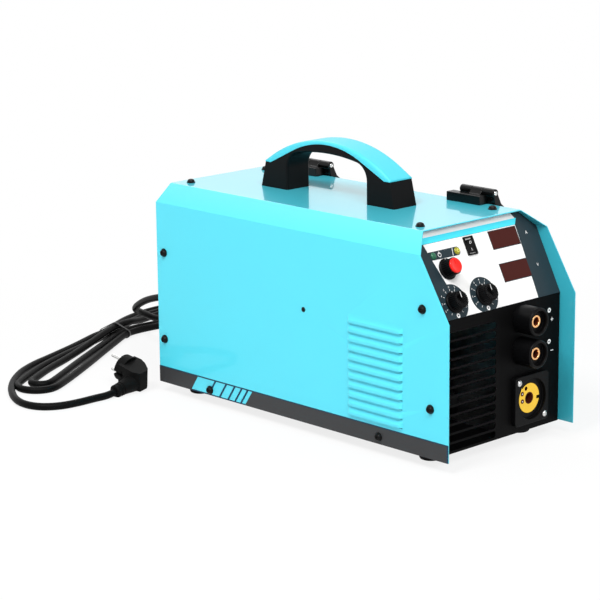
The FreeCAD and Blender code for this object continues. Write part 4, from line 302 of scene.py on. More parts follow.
def settle(item, name, body, look, place=None):
    """Name a piece, fix its place in its mesh, give it its finish and let it ride."""
    item.name = name
    item.data.name = name
    only(item)
    if place is not None:
        item.matrix_world = place @ item.matrix_world
    bpy.ops.object.transform_apply(location=True, rotation=True, scale=True)
    item.data.materials.clear()
    item.data.materials.append(finishes()[look])
    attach(item, body)
    return item


def merge(items):
    """Join several objects into the first."""
    only(items[0])
    for item in items:
        item.select_set(True)
    bpy.ops.object.join()
    return bpy.context.object


def twin(item, place):
    """Copy a piece with its own mesh to a place."""
    only(item)
    bpy.ops.object.duplicate()
    copy = bpy.context.object
    copy.matrix_world = place @ item.matrix_world
    only(copy)
    bpy.ops.object.transform_apply(location=True, rotation=True, scale=True)
    return copy


def remove(item):
    """Take a helper object away."""
    only(item)
    bpy.ops.object.delete()


def repeat(item, places):
    """Put a piece at each place, each copy with its own mesh, and join them."""
    copies = [twin(item, place) for place in places]
    remove(item)
    return merge(copies) if len(copies) > 1 else copies[0]


def outline(points, closed=False):
    """A chain of edges drawn from one vertex, through places in millimetres."""
    clear()
    bpy.ops.mesh.primitive_plane_add(size=0.001)
    item = bpy.context.object
    bpy.ops.object.mode_set(mode="EDIT")
    bpy.ops.mesh.select_all(action="SELECT")
    bpy.ops.mesh.merge(type="CENTER")
    bpy.ops.transform.translate(value=Vector(points[0]) * mm)
    for before, after in zip(points, points[1:]):
        step = (Vector(after) - Vector(before)) * mm
        bpy.ops.mesh.extrude_vertices_move(TRANSFORM_OT_translate={"value": step})
    bpy.ops.mesh.select_all(action="SELECT")
    if closed:
        bpy.ops.mesh.edge_face_add()
    return item


def outward():
    """Merge doubles, turn all faces outwards and leave edit mode."""
    bpy.ops.mesh.select_all(action="SELECT")
    bpy.ops.mesh.remove_doubles(threshold=1e-6)
    bpy.ops.mesh.normals_make_consistent(inside=False)
    bpy.ops.object.mode_set(mode="OBJECT")


def turned(points, steps=48):
    """A turned piece from radii and heights in millimetres."""
    item = outline([(radius, 0, height) for radius, height in points])
    bpy.ops.mesh.spin(steps=steps, angle=math.tau, center=(0, 0, 0), axis=(0, 0, 1))
    outward()
    return item


def prism(points, low, high, taper=1.0):
    """A solid with a closed outline, from one height to another."""
    item = outline([(x, y, low) for x, y in points], closed=True)
    rise = (0, 0, (high - low) * mm)
    bpy.ops.mesh.extrude_region_move(TRANSFORM_OT_translate={"value": rise})
    if taper != 1.0:
        bpy.ops.transform.resize(
            value=(taper, taper, 1), center_override=(0, 0, high * mm)
        )
    outward()
    return item


def smooth(item, angle=35.0):
    """Shade smoothly but keep the sharp edges."""
    only(item)
    bpy.ops.object.shade_smooth_by_angle(angle=math.radians(angle))
    return item


def modifier(item, kind, **values):
    """Add a modifier and apply it."""
    only(item)
    bpy.ops.object.modifier_add(type=kind)
    step = item.modifiers[-1]
    for key, value in values.items():
        setattr(step, key, value)
    bpy.ops.object.modifier_apply(modifier=step.name)
    return item


def rounded(item, width, segments=2, angle=30.0, clamp=False):
    """Round the sharp edges of a piece and even out its shading."""
    modifier(
        item,
        "BEVEL",
        width=width,
        segments=segments,
        limit_method="ANGLE",
        angle_limit=math.radians(angle),
        use_clamp_overlap=clamp,
    )
    smooth(item)
    modifier(item, "WEIGHTED_NORMAL", keep_sharp=True)
    return item


def long_loops(item, span):
    """Pick the sharp edges of a sheet's border and leave those of its holes."""
    bpy.ops.mesh.select_mode(type="EDGE")
    bpy.ops.mesh.select_all(action="DESELECT")
    bpy.ops.mesh.edges_select_sharp(sharpness=math.radians(30))
    bpy.ops.object.mode_set(mode="OBJECT")
    mesh = item.data
    meeting = {}
    for edge in mesh.edges:
        if edge.select:
            for corner in edge.vertices:
                meeting.setdefault(corner, []).append(edge)
    left = set(meeting)
    while left:
        chain = {left.pop()}
        ends = list(chain)
        while ends:
            for edge in meeting[ends.pop()]:
                new = [corner for corner in edge.vertices if corner not in chain]
                chain.update(new)
                ends += new
        left -= chain
        places = [mesh.vertices[corner].co for corner in chain]
        reach = max(max(p[k] for p in places) - min(p[k] for p in places) for k in range(3))
        if reach < span:
            for corner in chain:
                for edge in meeting[corner]:
                    edge.select = False
                mesh.vertices[corner].select = False
    bpy.ops.object.mode_set(mode="EDIT")


def softened(node, name, body, look, width, segments=2, clamp=False, span=0.0):
    """A finer copy of a solid with its edges rounded, shown in its place."""
    source = frame["nodes"][node]
    item = source.copy()
    item.data = source.data.copy()
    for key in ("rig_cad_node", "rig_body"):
        if key in item:
            del item[key]
    bpy.context.scene.collection.objects.link(item)
    item.parent = None
    item.matrix_world = Matrix.Identity(4)
    only(item)
    bpy.ops.object.mode_set(mode="EDIT")
    bpy.ops.mesh.select_all(action="SELECT")
    bpy.ops.mesh.remove_doubles(threshold=SAME_PLACE)
    if span:
        bpy.ops.mesh.beautify_fill(angle_limit=SAME_FLAT)
        long_loops(item, span)
        bpy.ops.mesh.bevel(offset=width, segments=segments, affect="EDGES")
        bpy.ops.mesh.select_mode(type="VERT")
        bpy.ops.object.mode_set(mode="OBJECT")
        smooth(item, 8)
        modifier(item, "WEIGHTED_NORMAL", keep_sharp=True)
    else:
        bpy.ops.mesh.dissolve_limited(angle_limit=SAME_FLAT)
        bpy.ops.object.mode_set(mode="OBJECT")
        rounded(item, width, segments, clamp=clamp)
    settle(item, name, body, look)
    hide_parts(node)
    return item


def crossed(head, reach, width, floor, top):
    """Cut a cross-shaped recess into a screw head."""
    half = width / 2
    arm = [(half, half), (half, reach), (-half, reach), (-half, half)]
    points = []
    for quarter in range(4):
        c, s = ((1, 0), (0, 1), (-1, 0), (0, -1))[quarter]
        points += [(x * c - y * s, x * s + y * c) for x, y in arm[:3]]
    cutter = prism(points, floor, top)
    modifier(head, "BOOLEAN", operation="DIFFERENCE", object=cutter, solver="EXACT")
    remove(cutter)
    return head


def pan_head(radius, height, shank, depth, steps=32):
    """A domed screw head with a rim, on its shank."""
    return turned(
        [
            (0, height),
            (radius * 0.42, height * 0.97),
            (radius * 0.66, height * 0.84),
            (radius * 0.82, height * 0.55),
            (radius * 0.86, height * 0.32),
            (radius * 0.98, height * 0.24),
            (radius, height * 0.14),
            (radius, 0),
            (shank, 0),
            (shank, -depth),
            (0, -depth),
        ],
        steps,
    )


def circle(u, v, radius, steps=40, start=0.0, turn=360.0):
    """Points round a circle, in millimetres."""
    count = steps if abs(turn) >= 360 else steps + 1
    angles = [math.radians(start + turn * k / steps) for k in range(count)]
    return [(u + radius * math.cos(a), v + radius * math.sin(a)) for a in angles]


def bar(u0, v0, u1, v1, width):
    """A straight stroke between two points."""
    way = Vector((u1 - u0, v1 - v0)).normalized()
    side = Vector((-way.y, way.x)) * width / 2
    return [
        (u0 + side.x, v0 + side.y),
        (u0 - side.x, v0 - side.y),
        (u1 - side.x, v1 - side.y),
        (u1 + side.x, v1 + side.y),
    ]


def flat_shape(loops, rise):
    """A thin flat print from closed outlines in millimetres; inner outlines are holes."""
    curve = bpy.data.curves.new("shape", "CURVE")
    curve.dimensions = "2D"
    curve.fill_mode = "BOTH"
    curve.extrude = rise / 2
    for loop in loops:
        spline = curve.splines.new("POLY")
        spline.points.add(len(loop) - 1)
        for node, (u, v) in zip(spline.points, loop):
            node.co = (u * mm, v * mm, 0, 1)
        spline.use_cyclic_u = True
    item = bpy.data.objects.new("shape", curve)
    bpy.context.scene.collection.objects.link(item)
    only(item)
    bpy.ops.object.convert(target="MESH")
    return bpy.context.object


def dial(k):
    """Way from a small knob's middle to a mark of its scale."""
    turn = math.radians(SCALE_START - SCALE_STEP * k)
    return math.cos(turn), math.sin(turn)


def letters(words, rise):
    """Plain letters and numbers as one flat mesh: (text, across, up, size) in millimetres."""
    items = []
    for text, u, v, size in words:
        clear()
        bpy.ops.object.text_add(location=(u * mm, v * mm, 0))
        item = bpy.context.object
        item.data.body = text
        item.data.size = size * mm
        item.data.align_x = "CENTER"
        item.data.align_y = "CENTER"
        item.data.extrude = rise / 2
        item.data.resolution_u = 3
        bpy.ops.object.convert(target="MESH")
        items.append(bpy.context.object)
        bpy.ops.object.transform_apply(location=True, rotation=True, scale=True)
    return merge(items) if len(items) > 1 else items[0]


def link(tree, out, into):
    """Feed one node's output to another's input."""
    tree.links.new(out, into)


def add_node(tree, kind, values=(), feeds=()):
    """A shader node, its inputs set to values or fed by other nodes."""
    node = tree.nodes.new(kind)
    for key, value in dict(values).items():
        node.inputs[key].default_value = value
    for key, out in dict(feeds).items():
        link(tree, out, node.inputs[key])
    return node


def calculate(tree, operation, *values):
    """A math node fed by numbers or by other nodes."""
    node = tree.nodes.new("ShaderNodeMath")
    node.operation = operation
    for socket, value in zip(node.inputs, values):
        if isinstance(value, (int, float)):
            socket.default_value = value
        else:
            link(tree, value, socket)
    return node.outputs[0]


def surface_group():
    """Shared effect: small changes of colour and gloss, with fine grain."""
    found = bpy.data.node_groups.get("Moulded and painted surface")
    if found:
        return found
    group = bpy.data.node_groups.new("Moulded and painted surface", "ShaderNodeTree")
    for name, kind, value in (
        ("Colour", "NodeSocketColor", (0.5, 0.5, 0.5, 1)),
        ("Tone", "NodeSocketFloat", 0.06),
        ("Gloss", "NodeSocketFloat", 0.4),
        ("Gloss change", "NodeSocketFloat", 0.05),
        ("Patch size", "NodeSocketFloat", 12.0),
        ("Grain size", "NodeSocketFloat", 900.0),
        ("Grain", "NodeSocketFloat", 0.1),
    ):
        socket = group.interface.new_socket(name=name, in_out="INPUT", socket_type=kind)
        socket.default_value = value
    for name, kind in (
        ("Colour", "NodeSocketColor"),
        ("Roughness", "NodeSocketFloat"),
        ("Normal", "NodeSocketVector"),
    ):
        group.interface.new_socket(name=name, in_out="OUTPUT", socket_type=kind)
    source = group.nodes.new("NodeGroupInput").outputs
    place = group.nodes.new("ShaderNodeTexCoord").outputs["Object"]
    patch, grain = (
        add_node(
            group,
            "ShaderNodeTexNoise",
            {"Detail": detail},
            {"Vector": place, "Scale": source[size]},
        ).outputs["Fac"]
        for size, detail in (("Patch size", 4), ("Grain size", 2))
    )
    centred = calculate(group, "SUBTRACT", patch, 0.5)
    amount = calculate(group, "MULTIPLY_ADD", centred, source["Tone"], 1.0)
    feeds = {"Color": source["Colour"], "Value": amount}
    tone = add_node(group, "ShaderNodeHueSaturation", feeds=feeds)
    gloss = calculate(
        group, "MULTIPLY_ADD", centred, source["Gloss change"], source["Gloss"]
    )
    feeds = {"Strength": source["Grain"], "Height": grain}
    bump = add_node(group, "ShaderNodeBump", {"Distance": GRAIN_DEPTH}, feeds)
    feeds = {
        "Colour": tone.outputs["Color"],
        "Roughness": gloss,
        "Normal": bump.outputs["Normal"],
    }
    add_node(group, "NodeGroupOutput", feeds=feeds)
    return group


def finish(name, colour, metallic=0.0, coat=0.0, coat_gloss=0.05, specular=0.5, **values):
    """A material from the shared surface effect with its own values."""
    found = bpy.data.materials.get(name)
    if found:
        return found
    material = bpy.data.materials.new(name)
    material.use_nodes = True
    tree = material.node_tree
    shader = tree.nodes["Principled BSDF"]
    shader.inputs["Metallic"].default_value = metallic
    shader.inputs["Coat Weight"].default_value = coat
    shader.inputs["Coat Roughness"].default_value = coat_gloss
    shader.inputs["Specular IOR Level"].default_value = specular
    effect = tree.nodes.new("ShaderNodeGroup")
    effect.name = "Surface"
    effect.node_tree = surface_group()
    effect.inputs["Colour"].default_value = tuple(colour)
    for key, value in values.items():
        effect.inputs[key.replace("_", " ").capitalize()].default_value = value
    link(tree, effect.outputs["Colour"], shader.inputs["Base Color"])
    link(tree, effect.outputs["Roughness"], shader.inputs["Roughness"])
    link(tree, effect.outputs["Normal"], shader.inputs["Normal"])
    return material


def lathe_marks(material, x, z):
    """Fine rings round a turned face that looks forwards, for a finish made above."""
    tree = material.node_tree
    place = tree.nodes.new("ShaderNodeTexCoord")
    centre = add_node(
        tree,
        "ShaderNodeMapping",
        {"Location": (-x * mm, 0, -(z + FOOT_HEIGHT) * mm)},
        {"Vector": place.outputs["Object"]},
    )
    feeds = {"Vector": centre.outputs["Vector"]}
    rings = add_node(tree, "ShaderNodeTexWave", {"Scale": 420, "Distortion": 0.6}, feeds)
    rings.wave_type = "RINGS"
    rings.rings_direction = "Y"
    feeds = {
        "Height": rings.outputs["Fac"],
        "Normal": tree.nodes["Surface"].outputs["Normal"],
    }
    values = {"Strength": 0.12, "Distance": GRAIN_DEPTH}
    bump = add_node(tree, "ShaderNodeBump", values, feeds)
    link(tree, bump.outputs["Normal"], tree.nodes["Principled BSDF"].inputs["Normal"])


def case_paint(tint):
    """Gloss paint outside; on the inside painted shade: half dark teal in the overhangs and near
    black in the closed part of the case.
    """
    found = bpy.data.materials.get("Gloss cyan powder coat")
    if found:
        return found
    material = finish(
        "Gloss cyan powder coat", tint.paint, coat_gloss=0.025, specular=0.3,
        tone=0.02, gloss=0.3, gloss_change=0.06, grain=0.03, grain_size=380,
    )
    tree = material.node_tree
    effect = tree.nodes["Surface"]
    shader = tree.nodes["Principled BSDF"]
    place = tree.nodes.new("ShaderNodeTexCoord").outputs["Object"]
    axes = add_node(tree, "ShaderNodeSeparateXYZ", feeds={0: place}).outputs
    across = calculate(tree, "ABSOLUTE", axes["X"])
    aside, upward = CHAMFER_WAY
    leaning = calculate(tree, "MULTIPLY", across, aside)
    slanted = calculate(tree, "MULTIPLY_ADD", axes["Z"], upward, leaning)
    s, c = math.sin(PANEL_SLOPE), math.cos(PANEL_SLOPE)
    depth = calculate(tree, "MULTIPLY", axes["Y"], c)
    behind = calculate(tree, "MULTIPLY_ADD", axes["Z"], -s, depth)
    fold = (CASE_FRONT + PANEL_DEPTH) * c - (FOLD_HEIGHT + FOOT_HEIGHT) * s
    under_top = CASE_HEIGHT - PAINT_SKIN + FOOT_HEIGHT
    tests = [
        calculate(tree, operation, value, limit * mm)
        for operation, value, limit in (
            ("LESS_THAN", across, HALF_WIDTH - PAINT_SKIN),
            ("LESS_THAN", slanted, CHAMFER_REACH + upward * FOOT_HEIGHT),
            ("LESS_THAN", axes["Z"], under_top),
            ("GREATER_THAN", axes["Y"], CASE_FRONT + INSIDE_SHADE_FRONT),
            ("LESS_THAN", axes["Y"], CASE_FRONT + INSIDE_SHADE_REAR),
            ("GREATER_THAN", behind, fold + PANEL_SHEET),
        )
    ]
    inside = tests[0]
    for test in tests[1:3]:
        inside = calculate(tree, "MULTIPLY", inside, test)
    # Inner faces of the covers are half mixed with the dark teal: painted shade in the overhangs
    # beyond the front and rear panels
    overhang_shade = calculate(tree, "MULTIPLY", inside, 0.5)
    # Inside the closed part of the case the inner faces take the near black instead: painted shade
    for test in tests[3:]:
        inside = calculate(tree, "MULTIPLY", inside, test)
    mixes = []
    for amount, colour in ((overhang_shade, tint.gap), (inside, tint.inside_shade)):
        mix = tree.nodes.new("ShaderNodeMix")
        mix.data_type = "RGBA"
        mix.inputs[6].default_value = tuple(tint.paint)
        mix.inputs[7].default_value = tuple(colour)
        link(tree, amount, mix.inputs[0])
        mixes.append(mix)
    link(tree, mixes[0].outputs[2], mixes[1].inputs[6])
    link(tree, mixes[1].outputs[2], effect.inputs["Colour"])
    values = {
        "From Min": (CASE_HEIGHT - 19 + FOOT_HEIGHT) * mm,
        "From Max": (CASE_HEIGHT - 1 + FOOT_HEIGHT) * mm,
        "To Min": 0.35,
        "To Max": 1.0,
    }
    height = add_node(tree, "ShaderNodeMapRange", values, {"Value": axes["Z"]})
    outside = calculate(tree, "SUBTRACT", 1.0, inside)
    coat = calculate(tree, "MULTIPLY", height.outputs[0], outside)
    link(tree, coat, shader.inputs["Coat Weight"])
    return material


def finishes():
    """Every finish of the machine by name."""
    tint = bpy.context.scene.welder_colours
    brass = finish(
        "Turned brass", tint.brass, metallic=1.0, tone=0.25, gloss=0.2,
        gloss_change=0.12, patch_size=60, grain=0.15, grain_size=2500,
    )
    if not brass.node_tree.nodes.get("Wave Texture"):
        lathe_marks(brass, *TORCH)
    return {
        "paint": case_paint(tint),
        "grip": finish(
            "Cyan moulded grip", tint.grip, coat=0.2, coat_gloss=0.25, specular=0.35,
            tone=0.03, gloss=0.45, grain=0.15, grain_size=1100,
        ),
        "panel": finish(
            "Textured black paint", tint.panel, specular=0.04, tone=0.25, gloss=0.5,
            gloss_change=0.12, grain=0.45, grain_size=1500,
        ),
        "slate": finish(
            "Slate overlay film", tint.slate, specular=0.15, tone=0.06, gloss=0.34,
            grain=0.2, grain_size=2200,
        ),
        "white": finish(
            "White print", tint.white, specular=0.2, tone=0.02, gloss=0.36, grain=0.1
        ),
        "strip": finish(
            "Cyan print", tint.strip, specular=0.2, tone=0.02, gloss=0.36, grain=0.1
        ),
        "silver": finish(
            "Silver film", tint.silver, metallic=0.35, tone=0.12, gloss=0.3, patch_size=30
        ),
        "band": finish(
            "Dark band film", tint.band, specular=0.2, tone=0.06, gloss=0.4, grain=0.2,
            grain_size=1800,
        ),
        "teal": finish(
            "Painted shade teal", tint.gap, specular=0.04, tone=0.05, gloss=0.4, grain=0.1
        ),
        "navy": finish(
            "Navy print", tint.navy, specular=0.2, tone=0.05, gloss=0.4, grain=0.1
        ),
        "black": finish(
            "Black moulded plastic", tint.black, specular=0.09, tone=0.3, gloss=0.36,
            gloss_change=0.14, grain=0.3, grain_size=1300,
        ),
        "gloss_black": finish(
            "Smooth black plastic", tint.black, specular=0.12, tone=0.2, gloss=0.2, grain=0.05
        ),
        "rubber": finish(
            "Black rubber", tint.rubber, specular=0.06, tone=0.4, gloss=0.55,
            gloss_change=0.2, grain=0.5, grain_size=1600,
        ),
        "cord": finish(
            "Black cord sheath", tint.rubber, specular=0.05, tone=0.4, gloss=0.42,
            gloss_change=0.2, grain=0.35, grain_size=700,
        ),
        "red": finish(
            "Red moulded plastic", tint.red, coat=0.2, specular=0.3, tone=0.06, gloss=0.3
        ),
        "brass": brass,
        "contact": finish(
            "Copper coloured contact", tint.copper, metallic=1.0, tone=0.2, gloss=0.22,
            gloss_change=0.1, patch_size=90, grain=0.15, grain_size=2500,
        ),
        "bore": finish(
            "Shaded bore", tint.bore, metallic=0.4, specular=0.2, tone=0.5, gloss=0.45,
            patch_size=300,
        ),
        "display": finish(
            "Display filter", tint.display, coat=0.04, coat_gloss=0.1, specular=0.1,
            tone=0.05, gloss=0.3,
        ),
        "green": finish(
            "Green lamp lens", (0.006, 0.12, 0.055, 1), coat=0.4, specular=0.3, tone=0.1,
            gloss=0.2,
        ),
        "yellow": finish(
            "Yellow lamp lens", (0.30, 0.27, 0.006, 1), coat=0.4, specular=0.3, tone=0.1,
            gloss=0.2,
        ),
        "lamp_ring": finish(
            "Bright lamp ring", (0.78, 0.76, 0.10, 1), specular=0.3, tone=0.1, gloss=0.2
        ),
        "nickel": finish(
            "Bright nickel", (0.74, 0.74, 0.73, 1), metallic=1.0, tone=0.1, gloss=0.2,
            gloss_change=0.1, patch_size=80,
        ),
        "zinc": finish(
            "Zinc plated steel", (0.60, 0.61, 0.62, 1), metallic=1.0, tone=0.3, gloss=0.36,
            gloss_change=0.2, patch_size=45, grain=0.2,
        ),
        "steel": finish(
            "Machined steel", (0.42, 0.43, 0.44, 1), metallic=1.0, tone=0.2, gloss=0.34,
            gloss_change=0.15, patch_size=70, grain=0.3, grain_size=2500,
        ),
        "screw": finish(
            "Black oxide steel", (0.006, 0.006, 0.006, 1), metallic=0.1, specular=0.12,
            tone=0.4, gloss=0.3, gloss_change=0.15, patch_size=120, grain=0.2,
        ),
        "cast": finish(
            "Black cast hinge", (0.003, 0.003, 0.003, 1), specular=0.2, tone=0.4, gloss=0.22,
            gloss_change=0.15, grain=0.4, grain_size=1700,
        ),
        "board": finish(
            "Green circuit board", (0.012, 0.10, 0.045, 1), tone=0.25, gloss=0.35,
            patch_size=90, grain=0.3, grain_size=1200,
        ),
        "alloy": finish(
            "Extruded aluminium", (0.66, 0.67, 0.68, 1), metallic=1.0, tone=0.15,
            gloss=0.38, gloss_change=0.15, grain=0.25,
        ),
        "sleeve": finish(
            "Blue shrink sleeve", (0.015, 0.03, 0.16, 1), tone=0.1, gloss=0.3
        ),
        "copper": finish(
            "Enamelled copper", (0.45, 0.13, 0.035, 1), metallic=0.8, tone=0.3, gloss=0.3,
            patch_size=60, grain=0.5, grain_size=900,
        ),
        "wire": finish(
            "Copper coated wire", (0.62, 0.30, 0.14, 1), metallic=1.0, tone=0.2, gloss=0.3,
            patch_size=50, grain=0.4, grain_size=1400,
        ),
        "reel": finish(
            "Black reel plastic", (0.014, 0.014, 0.015, 1), specular=0.3, tone=0.3, gloss=0.4,
            grain=0.3,
        ),
        "tie": finish(
            "Black nylon", (0.010, 0.010, 0.010, 1), specular=0.3, tone=0.2, gloss=0.35,
            grain=0.1,
        ),
    }


# Finish of every solid: each finish with the nodes that wear it
NODE_FINISH = {
    "panel": ("base_tray", "front_panel", "rear_panel"),
    "black": (
        "cable_gland", "current_knob", "fan_frame", "fan_rotor", "handle_base", "inductance_knob",
        "pressure_arm", "socket_bodies", "spool_axle", "tension_lever", "torch_flange",
        "voltage_knob",
    ),
    "tie": ("cable_tie",),
    "sleeve": ("capacitors",),
    "board": ("control_board", "inverter_board"),
    "slate": ("control_overlay",),
    "screw": ("cover_screws",),
    "red": ("current_knob_cap", "power_rocker"),
    "display": ("display_windows",),
    "steel": ("drive_roll", "feeder_frame", "pressure_roll"),
    "zinc": ("fan_guard", "foot_screws", "partition"),
    "gloss_black": (
        "feed_motor", "latch_front", "latch_rear", "mode_rocker", "rocker_frame", "switch_frame",
    ),
    "brass": ("gas_valve", "torch_block"),
    "grip": ("handle_cap",),
    "alloy": ("heatsinks",),
    "cast": ("hinge_leaves_door", "hinge_leaves_top"),
    "nickel": ("hinge_pins", "plug_pins", "torch_pins", "torch_screws"),
    "paint": ("left_cover", "side_door"),
    "cord": ("mains_cable", "mains_hank", "plug_lead"),
    "rubber": ("plug_body", "rubber_feet"),
    "green": ("power_lamp",),
    "band": ("side_band",),
    "contact": ("socket_contacts",),
    "copper": ("transformer",),
    "yellow": ("warning_lamp",),
    "reel": ("wire_spool",),
    "wire": ("wire_winding",),
}


class WELDER_OT_camera(bpy.types.Operator):
    """Set the camera where the photograph was taken"""

    bl_idname = "welder.camera"
    bl_label = "Camera"

    def execute(self, context):
        azimuth, elevation, roll = (math.radians(angle) for angle in CAMERA_TURN)
        back = Vector(
            (
                math.sin(azimuth) * math.cos(elevation),
                -math.cos(azimuth) * math.cos(elevation),
                math.sin(elevation),
            )
        )
        right = (-back).cross(Vector((0, 0, 1))).normalized()
        up = right.cross(-back)
        across = right * math.cos(roll) + up * math.sin(roll)
        upward = up * math.cos(roll) - right * math.sin(roll)
        place = case_point(*CAMERA_AIM) + back * CAMERA_DISTANCE
        place += across * CAMERA_SHIFT[0] + upward * CAMERA_SHIFT[1]
        turn = Matrix((across, upward, back)).transposed().to_4x4()
        bpy.ops.object.camera_add()
        camera = context.object
        camera.matrix_world = Matrix.Translation(place) @ turn
        camera.data.sensor_width = SENSOR_WIDTH
        camera.data.lens = SENSOR_WIDTH * CAMERA_FOCAL / PICTURE_WIDTH
        camera.data.clip_start = CAMERA_CLIP[0]
        camera.data.clip_end = CAMERA_CLIP[1]
        context.scene.camera = camera
        return {"FINISHED"}


class WELDER_OT_nodes(bpy.types.Operator):
    """Give every solid its finish"""

    bl_idname = "welder.nodes"
    bl_label = "Finishes"

    def execute(self, context):
        looks = finishes()
        for key, names in NODE_FINISH.items():
            for name in names:
                node = frame["nodes"][name]
                node.data.materials.clear()
                node.data.materials.append(looks[key])
        return {"FINISHED"}


TIE = (42.0, 735.0)
TIE_TURN = math.radians(30.6)
CORD_LIE = 4.5


def lying(*places):
    """Places across, back from the front edge and up, on the floor if no height is given."""
    return [(*place, CORD_LIE)[:3] for place in places]


def hank(*places):
    """Places in the tied hank: along it, across it and up."""
    c, s = math.cos(TIE_TURN), math.sin(TIE_TURN)
    return [
        (TIE[0] + c * along - s * aside, TIE[1] + s * along + c * aside, height)
        for along, aside, height in lying(*places)
    ]


# Mains cord from the gland through the hank to the plug
CORD_ROUTE = [
    *lying(
        (-15, 474.2, 90.5), (-15, 496, 90.5), (-14, 533, 89), (-9, 575, 83), (1, 616, 71),
        (15, 652, 56), (33, 682, 42), (56, 703, 31), (80, 716, 20), (101, 724.5, 9.5),
        (118, 728, 5.4), (136, 726), (155.4, 726), (163.0, 733.6), (163.0, 744.4), (155.4, 752),
        (136, 752), (115, 748, 4.7), (85, 736, 7), (52, 720, 14),
    ),
    *hank(
        (-30, -11.1, 14.6), (-60, -8.5, 14.0), (-100, -3.5, 9.5), (-161, 5), (-210, 9.5),
        (-254, 9.0), (-276.2, 8), (-283.5, 0.7), (-283.5, -9.7), (-276.2, -17), (-248, -17.2),
        (-190, -15.5), (-128, -15), (-78, -15.5, 4.9), (-30, -16, 5.9),
    ),
    *lying(
        (58, 714.5, 5.3), (95, 713.5), (136, 713), (160.6, 713), (175.5, 727.9), (175.5, 749.1),
        (160.6, 764), (140, 764), (120, 761), (88, 751, 4.8), (50, 731, 5.9),
    ),
    *hank(
        (-30, -6.2, 5.9), (-52, -0.6, 5.3), (-96, 6.5), (-161, 17), (-210, 22.5), (-245, 22),
        (-276, 21), (-295.4, 19), (-310, 4.4), (-310, -16.4), (-295.4, -31), (-264, -31.8),
        (-225, -31.5), (-172, -30), (-108, -27), (-70, -26.2, 5.0), (-30, -25.8, 5.9),
    ),
    *lying(
        (62, 703.5, 5.1), (95, 702.3), (135, 702), (165.3, 702), (187, 723.7), (187, 754.3),
        (165.3, 776), (142, 776), (120, 773.5), (85, 763, 4.8), (47, 742, 5.7),
    ),
    *hank((-30, 4, 5.9), (-52, 11.2, 5.3), (-96, 17), (-161, 28)),
    *lying(
        (-148.5, 664.2), (-187, 642.8), (-225, 607), (-253, 566), (-264.5, 533), (-259, 507),
        (-240, 492), (-214, 488), (-188, 488.5), (-171.2, 486.8), (-160.4, 487.8, 6.25),
    ),
]


class WELDER_OT_cord(bpy.types.Operator):
    """Lay the mains cord from the gland through its hank to the plug"""

    bl_idname = "welder.cord"
    bl_label = "Mains cord"

    def execute(self, context):
        sizes = context.scene.welder_sizes
        plug = softened(
            "plug_body", "plug_shell", "case", "rubber", PLUG_EDGE, clamp=True
        )
        route = [Vector((x, CASE_FRONT + y, z)) * mm for x, y, z in CORD_ROUTE]
        curve = bpy.data.curves.new("mains_cord", "CURVE")
        curve.dimensions = "3D"
        spline = curve.splines.new("NURBS")
        spline.points.add(len(route) - 1)
        for node, point in zip(spline.points, route):
            node.co = (*point, 1)
        spline.order_u = 3
        spline.use_endpoint_u = True
        spline.resolution_u = 8
        curve.bevel_depth = sizes.cord / 2
        curve.bevel_resolution = 5
        curve.use_fill_caps = True
        cord = bpy.data.objects.new("mains_cord", curve)
        context.scene.collection.objects.link(cord)
        curve.materials.append(finishes()["cord"])
        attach(cord, "case")
        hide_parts("mains_cable", "mains_hank", "plug_lead")
        return {"FINISHED"}


class WELDER_OT_case(bpy.types.Operator):
    """Round the edges of the covers, panels and tray"""

    bl_idname = "welder.case"
    bl_label = "Case"

    def execute(self, context):
        edge = context.scene.welder_sizes.sheet_edge
        for node, name, body, slot, key, width, span in (
            ("left_cover", "cover_shell", "case", "cyan_paint", "paint", edge, BORDER_SPAN),
            ("side_door", "door_shell", "door", "cyan_paint", "paint", edge, 0),
            ("front_panel", "front_sheet", "case", "panel_paint", "panel", edge * 2, 0),
            ("rear_panel", "rear_sheet", "case", "tray_paint", "panel", edge, 0),
            ("base_tray", "bottom_sheet", "case", "tray_paint", "panel", edge, 0),
        ):
            softened(node, name, body, key, width, span=span)
        return {"FINISHED"}


class WELDER_OT_louvres(bpy.types.Operator):
    """Press the row of smooth air louvres into the left wall and lay a strip of painted shade under
    each lip
    """

    bl_idname = "welder.louvres"
    bl_label = "Louvres"

    def execute(self, context):
        section = (
            (8.3, -0.1), (7.6, 0.3), (6.0, 1.15), (4.2, 2.1), (2.6, 2.85), (1.5, 3.25),
            (0.8, 3.3), (0.25, 3.0), (0.15, 2.4), (0.5, -0.1),
        )
        hood = outline([(0, up, out) for up, out in section])
        wall = (0, 0.0042, 0)
        ending = 0.04
        bpy.ops.transform.resize(value=(1, 1, ending), center_override=wall)
        swell = [(0.5, 0.22), (1.2, 0.52), (2.2, 0.8), (3.4, 0.95), (4.8, 1.0)]
        sink = [(LOUVRE_LENGTH - along, share) for along, share in reversed(swell)]
        stages = [(0.0, ending)] + swell + sink + [(LOUVRE_LENGTH, ending)]
        for (start, before), (along, share) in zip(stages, stages[1:]):
            step = (-(along - start) * mm, 0, 0)
            bpy.ops.mesh.extrude_edges_move(TRANSFORM_OT_translate={"value": step})
            bpy.ops.transform.resize(value=(1, 1, share / before), center_override=wall)
        outward()
        smooth(hood, 75)
        # Under each lip a thin dark teal strip lies on the wall: painted shade where the lip shades
        # the wall
        near, far = -0.9, 0.9 - LOUVRE_LENGTH
        gap = prism([(near, 0.3), (near, -0.85), (far, -0.85), (far, 0.3)], 0.02, 0.5)
        places = [
            on_left(LOUVRE_FRONT, LOUVRE_LOW + LOUVRE_PITCH * k) for k in range(LOUVRES)
        ]
        hoods = repeat(hood, places)
        settle(hoods, "louvre_hoods", "case", "paint")
        shade_strips = repeat(gap, places)
        settle(shade_strips, "louvre_shade_strips", "case", "teal")
        return {"FINISHED"}


def cap_top(y):
    """Height of the handle cap's upper side, in millimetres over the top sheet."""
    return CAP_APEX - CAP_ARC + math.sqrt(CAP_ARC * CAP_ARC - y * y)


